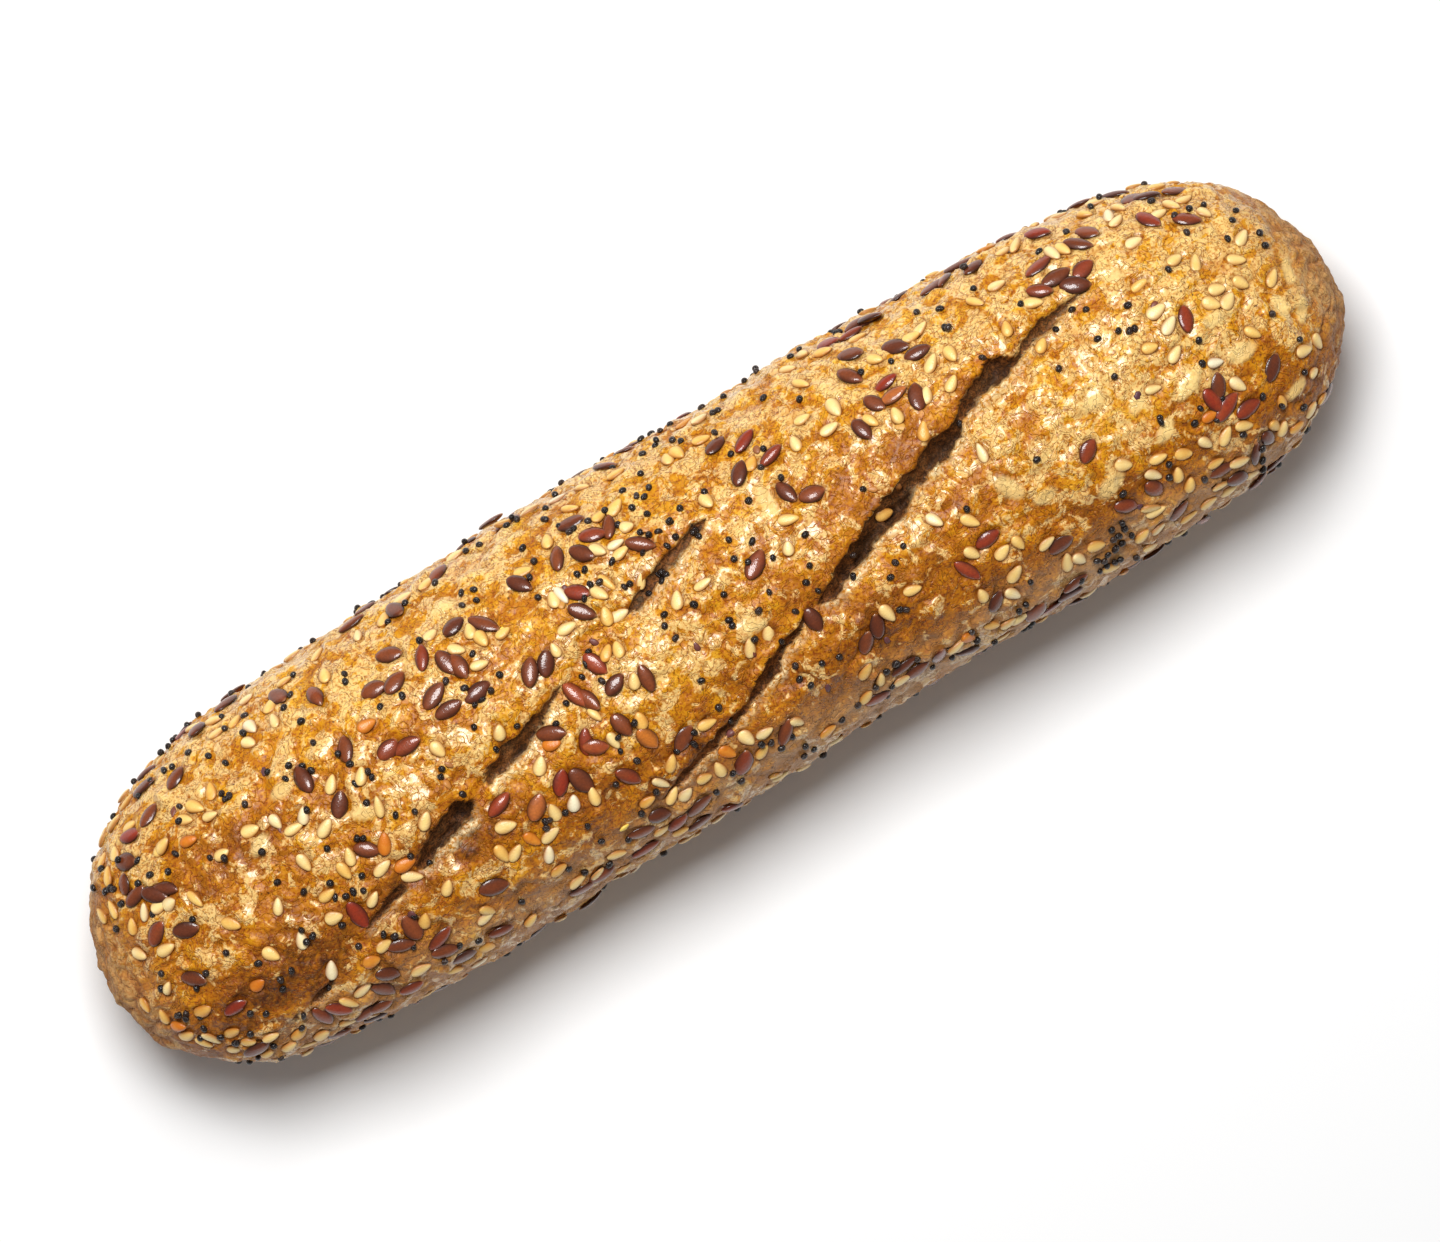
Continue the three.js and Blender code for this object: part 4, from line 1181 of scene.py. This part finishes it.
def crumb_look():
    look = Look("seed_crumbs")
    colour = look.ramp(
        look.given("tint"),
        (0.0, tone(88, 52, 62)),
        (0.35, tone(124, 66, 48)),
        (0.6, tone(196, 130, 60)),
        (1.0, tone(246, 214, 96)),
    )
    bump = look.bump(look.noise(0.5, detail=2), 0.06)
    return look.finish(Base_Color=colour, Roughness=0.45, Normal=bump)


# ---- Building -----------------------------------------------------------------------------------------

loaf_box = [np.array(corner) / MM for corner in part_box("loaf")]

# The row frame's origin is the middle of the footprint, so it lies a little off the formula's own origin.
outline_x = station_places()
right_side = (midline(outline_x) - half_width(outline_x)).min()
left_side = (midline(outline_x) + half_width(outline_x)).max()
box_middle = (loaf_box[0] + loaf_box[1]) / 2
SHIFT = np.array([box_middle[0], box_middle[1] - (right_side + left_side) / 2, 0])

DENT_SIZES = {"flax": (2.85, 1.65), "sesame": (2.05, 1.38), "poppy": (0.8, 0.75)}
listed = [(kind, *at) for kind in ("flax", "sesame", "poppy") for at in seed_turns(kind)]
dents = [(x, angle, turn, *DENT_SIZES[kind]) for kind, x, y, turn, angle in listed if kind != "poppy"]
CAD_LIFT = 0.9  # about how far the middle of a CAD seed is above the crust
cad_seeds = []
for name, node in sorted(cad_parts.items()):
    if name != "loaf":
        centre, heading, out = cad_seed_lie(node)
        cad_seeds.append((name, name.split("_")[0], centre, heading, out))
        turn = math.degrees(math.atan2(heading[1], heading[0]))
        x, y, _ = centre - CAD_LIFT * out
        dents.append((x, angle_above(x, y), turn, *DENT_SIZES[name.split("_")[0]]))

skin, crust_marks = make_crust(dents)
first_tip = np.array([-LENGTH / 2 - PROUD, midline(-LENGTH / 2), WAIST])
last_tip = np.array([LENGTH / 2 + PROUD, midline(LENGTH / 2), WAIST])
crust_points, crust_faces = closed_grid(skin, first_tip, last_tip)
tips = ([0, -1], 0)
point_marks = {mark: np.concatenate([values.ravel(), values[tips]]) for mark, values in crust_marks.items()}
crust = new_mesh("loaf_crust", crust_points, crust_faces, point_marks, grid_uv(*skin.shape[:2]))
crust.data.materials.append(crust_look())
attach(crust, "root")
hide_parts("loaf")

ground = Ground(crust_points, crust_faces)
LOOKS = {"flax": flax_look(), "sesame": sesame_look(), "poppy": poppy_look(), "crumb": crumb_look()}


def show(pile, name, kind, *nodes):
    piece = pile.mesh(name)
    piece.data.materials.append(LOOKS[kind])
    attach(piece, "root")
    if nodes:
        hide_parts(*nodes)


rng = np.random.default_rng(5)
for name, kind, centre, heading, out in cad_seeds:
    pile = Pile()
    tint = tint_of(kind, centre[0], centre[1], rng)
    pile.add(kind, ground.lie(centre - CAD_LIFT * out, out, heading, kind, rng), tint, rng)
    show(pile, "fine_" + name, kind, name)

FLANK = 20  # seeds farther out than this from the midline are in the flank pieces
piles = {(kind, zone): Pile() for kind in ("flax", "sesame", "poppy") for zone in ("top", "flanks")}
for kind, x, y, turn, angle in listed:
    point, out = crust_round(x, angle), crust_normal(x, angle)
    buried = kind == "sesame" and any(same_place(x, y, at) for at in BURIED)
    lie = ground.lie(point, out, heading_above(out, turn), kind, rng, BURIED_SINK if buried else None)
    zone = "top" if abs(y - midline(x)) < FLANK else "flanks"
    piles[kind, zone].add(kind, lie, tint_of(kind, x, y, rng), rng)
for kind, x, angle, turn, point, _ in low_places():
    out = crust_normal(x, angle)
    lie = ground.lie(point, out, heading_any(out, turn), kind, rng)
    piles[kind, "flanks"].add(kind, lie, tint_of(kind, x, 99, rng), rng)
for (kind, zone), pile in piles.items():
    show(pile, f"{kind}_seeds_{zone}", kind)

# Broken bits of seed as x, y and tint: three bright husks in places of their own, the others anywhere on top.
MORE_CRUMBS = 26
crumb_places = [(-30.8, 14.8, 1), (-30.6, -22.3, 0.95), (40, -20.2, 1)]
crumbs = Pile()
for _ in range(MORE_CRUMBS):
    crumb_places.append((rng.uniform(-100, 100), rng.uniform(-24, 24), rng.uniform(0, 0.7)))
for x, y, tint in crumb_places:
    angle = angle_above(x, y)
    point, out = crust_round(x, angle), crust_normal(x, angle)
    lie = ground.lie(point, out, heading_above(out, rng.uniform(0, 360)), "crumb", rng)
    crumbs.add("crumb", lie, tint, rng)
show(crumbs, "seed_crumbs", "crumb")

# ---- Floor, light and camera ------------------------------------------------------------------------

FLOOR_SIDE = 3.0
floor_mesh = bpy.data.meshes.new("floor")
half = FLOOR_SIDE / 2
corners = [(-half, -half, 0), (half, -half, 0), (half, half, 0), (-half, half, 0)]
floor_mesh.from_pydata(corners, [], [(0, 1, 2, 3)])
floor = bpy.data.objects.new("floor", floor_mesh)
bpy.context.scene.collection.objects.link(floor)
floor_look = Look("floor")
pale = (0.88, 0.88, 0.88, 1)
floor_mesh.materials.append(floor_look.finish(Base_Color=pale, Roughness=0.9, Specular_IOR_Level=0.1))

scene = bpy.context.scene
scene.view_settings.view_transform = "Standard"
world = bpy.data.worlds.new("studio")
scene.world = world
world.use_nodes = True
world.node_tree.nodes["Background"].inputs["Color"].default_value = (1, 1, 1, 1)
world.node_tree.nodes["Background"].inputs["Strength"].default_value = 0.2


def softbox(name, azimuth, elevation, distance, side, watts):
    """A square light that looks at the loaf. Azimuth is counted from +X towards +Y."""
    data = bpy.data.lights.new(name, "AREA")
    data.shape = "SQUARE"
    data.size = side
    data.energy = watts
    light = bpy.data.objects.new(name, data)
    a, e = math.radians(azimuth), math.radians(elevation)
    towards = Vector((math.cos(a) * math.cos(e), math.sin(a) * math.cos(e), math.sin(e)))
    light.location = towards * distance
    light.rotation_euler = towards.to_track_quat("Z", "Y").to_euler()
    scene.collection.objects.link(light)


softbox("key", azimuth=81, elevation=70, distance=1.05, side=0.45, watts=13)

LOOK_AT = np.array([0.7, -1.9, 22]) + SHIFT
CAMERA_HEIGHT = 1.5  # metres above the middle of the loaf
LOAF_SLANT = math.radians(31.1308)  # how steeply the loaf rises from left to right in the picture
camera_data = bpy.data.cameras.new("camera")
camera_data.sensor_width = 36
camera_data.lens = 224
camera = bpy.data.objects.new("camera", camera_data)
scene.collection.objects.link(camera)
camera.location = Vector(LOOK_AT * MM) + Vector((0, 0, CAMERA_HEIGHT))
# It looks straight down, turned so that the loaf lies diagonally.
camera.rotation_euler = (0, 0, -LOAF_SLANT)
scene.camera = camera
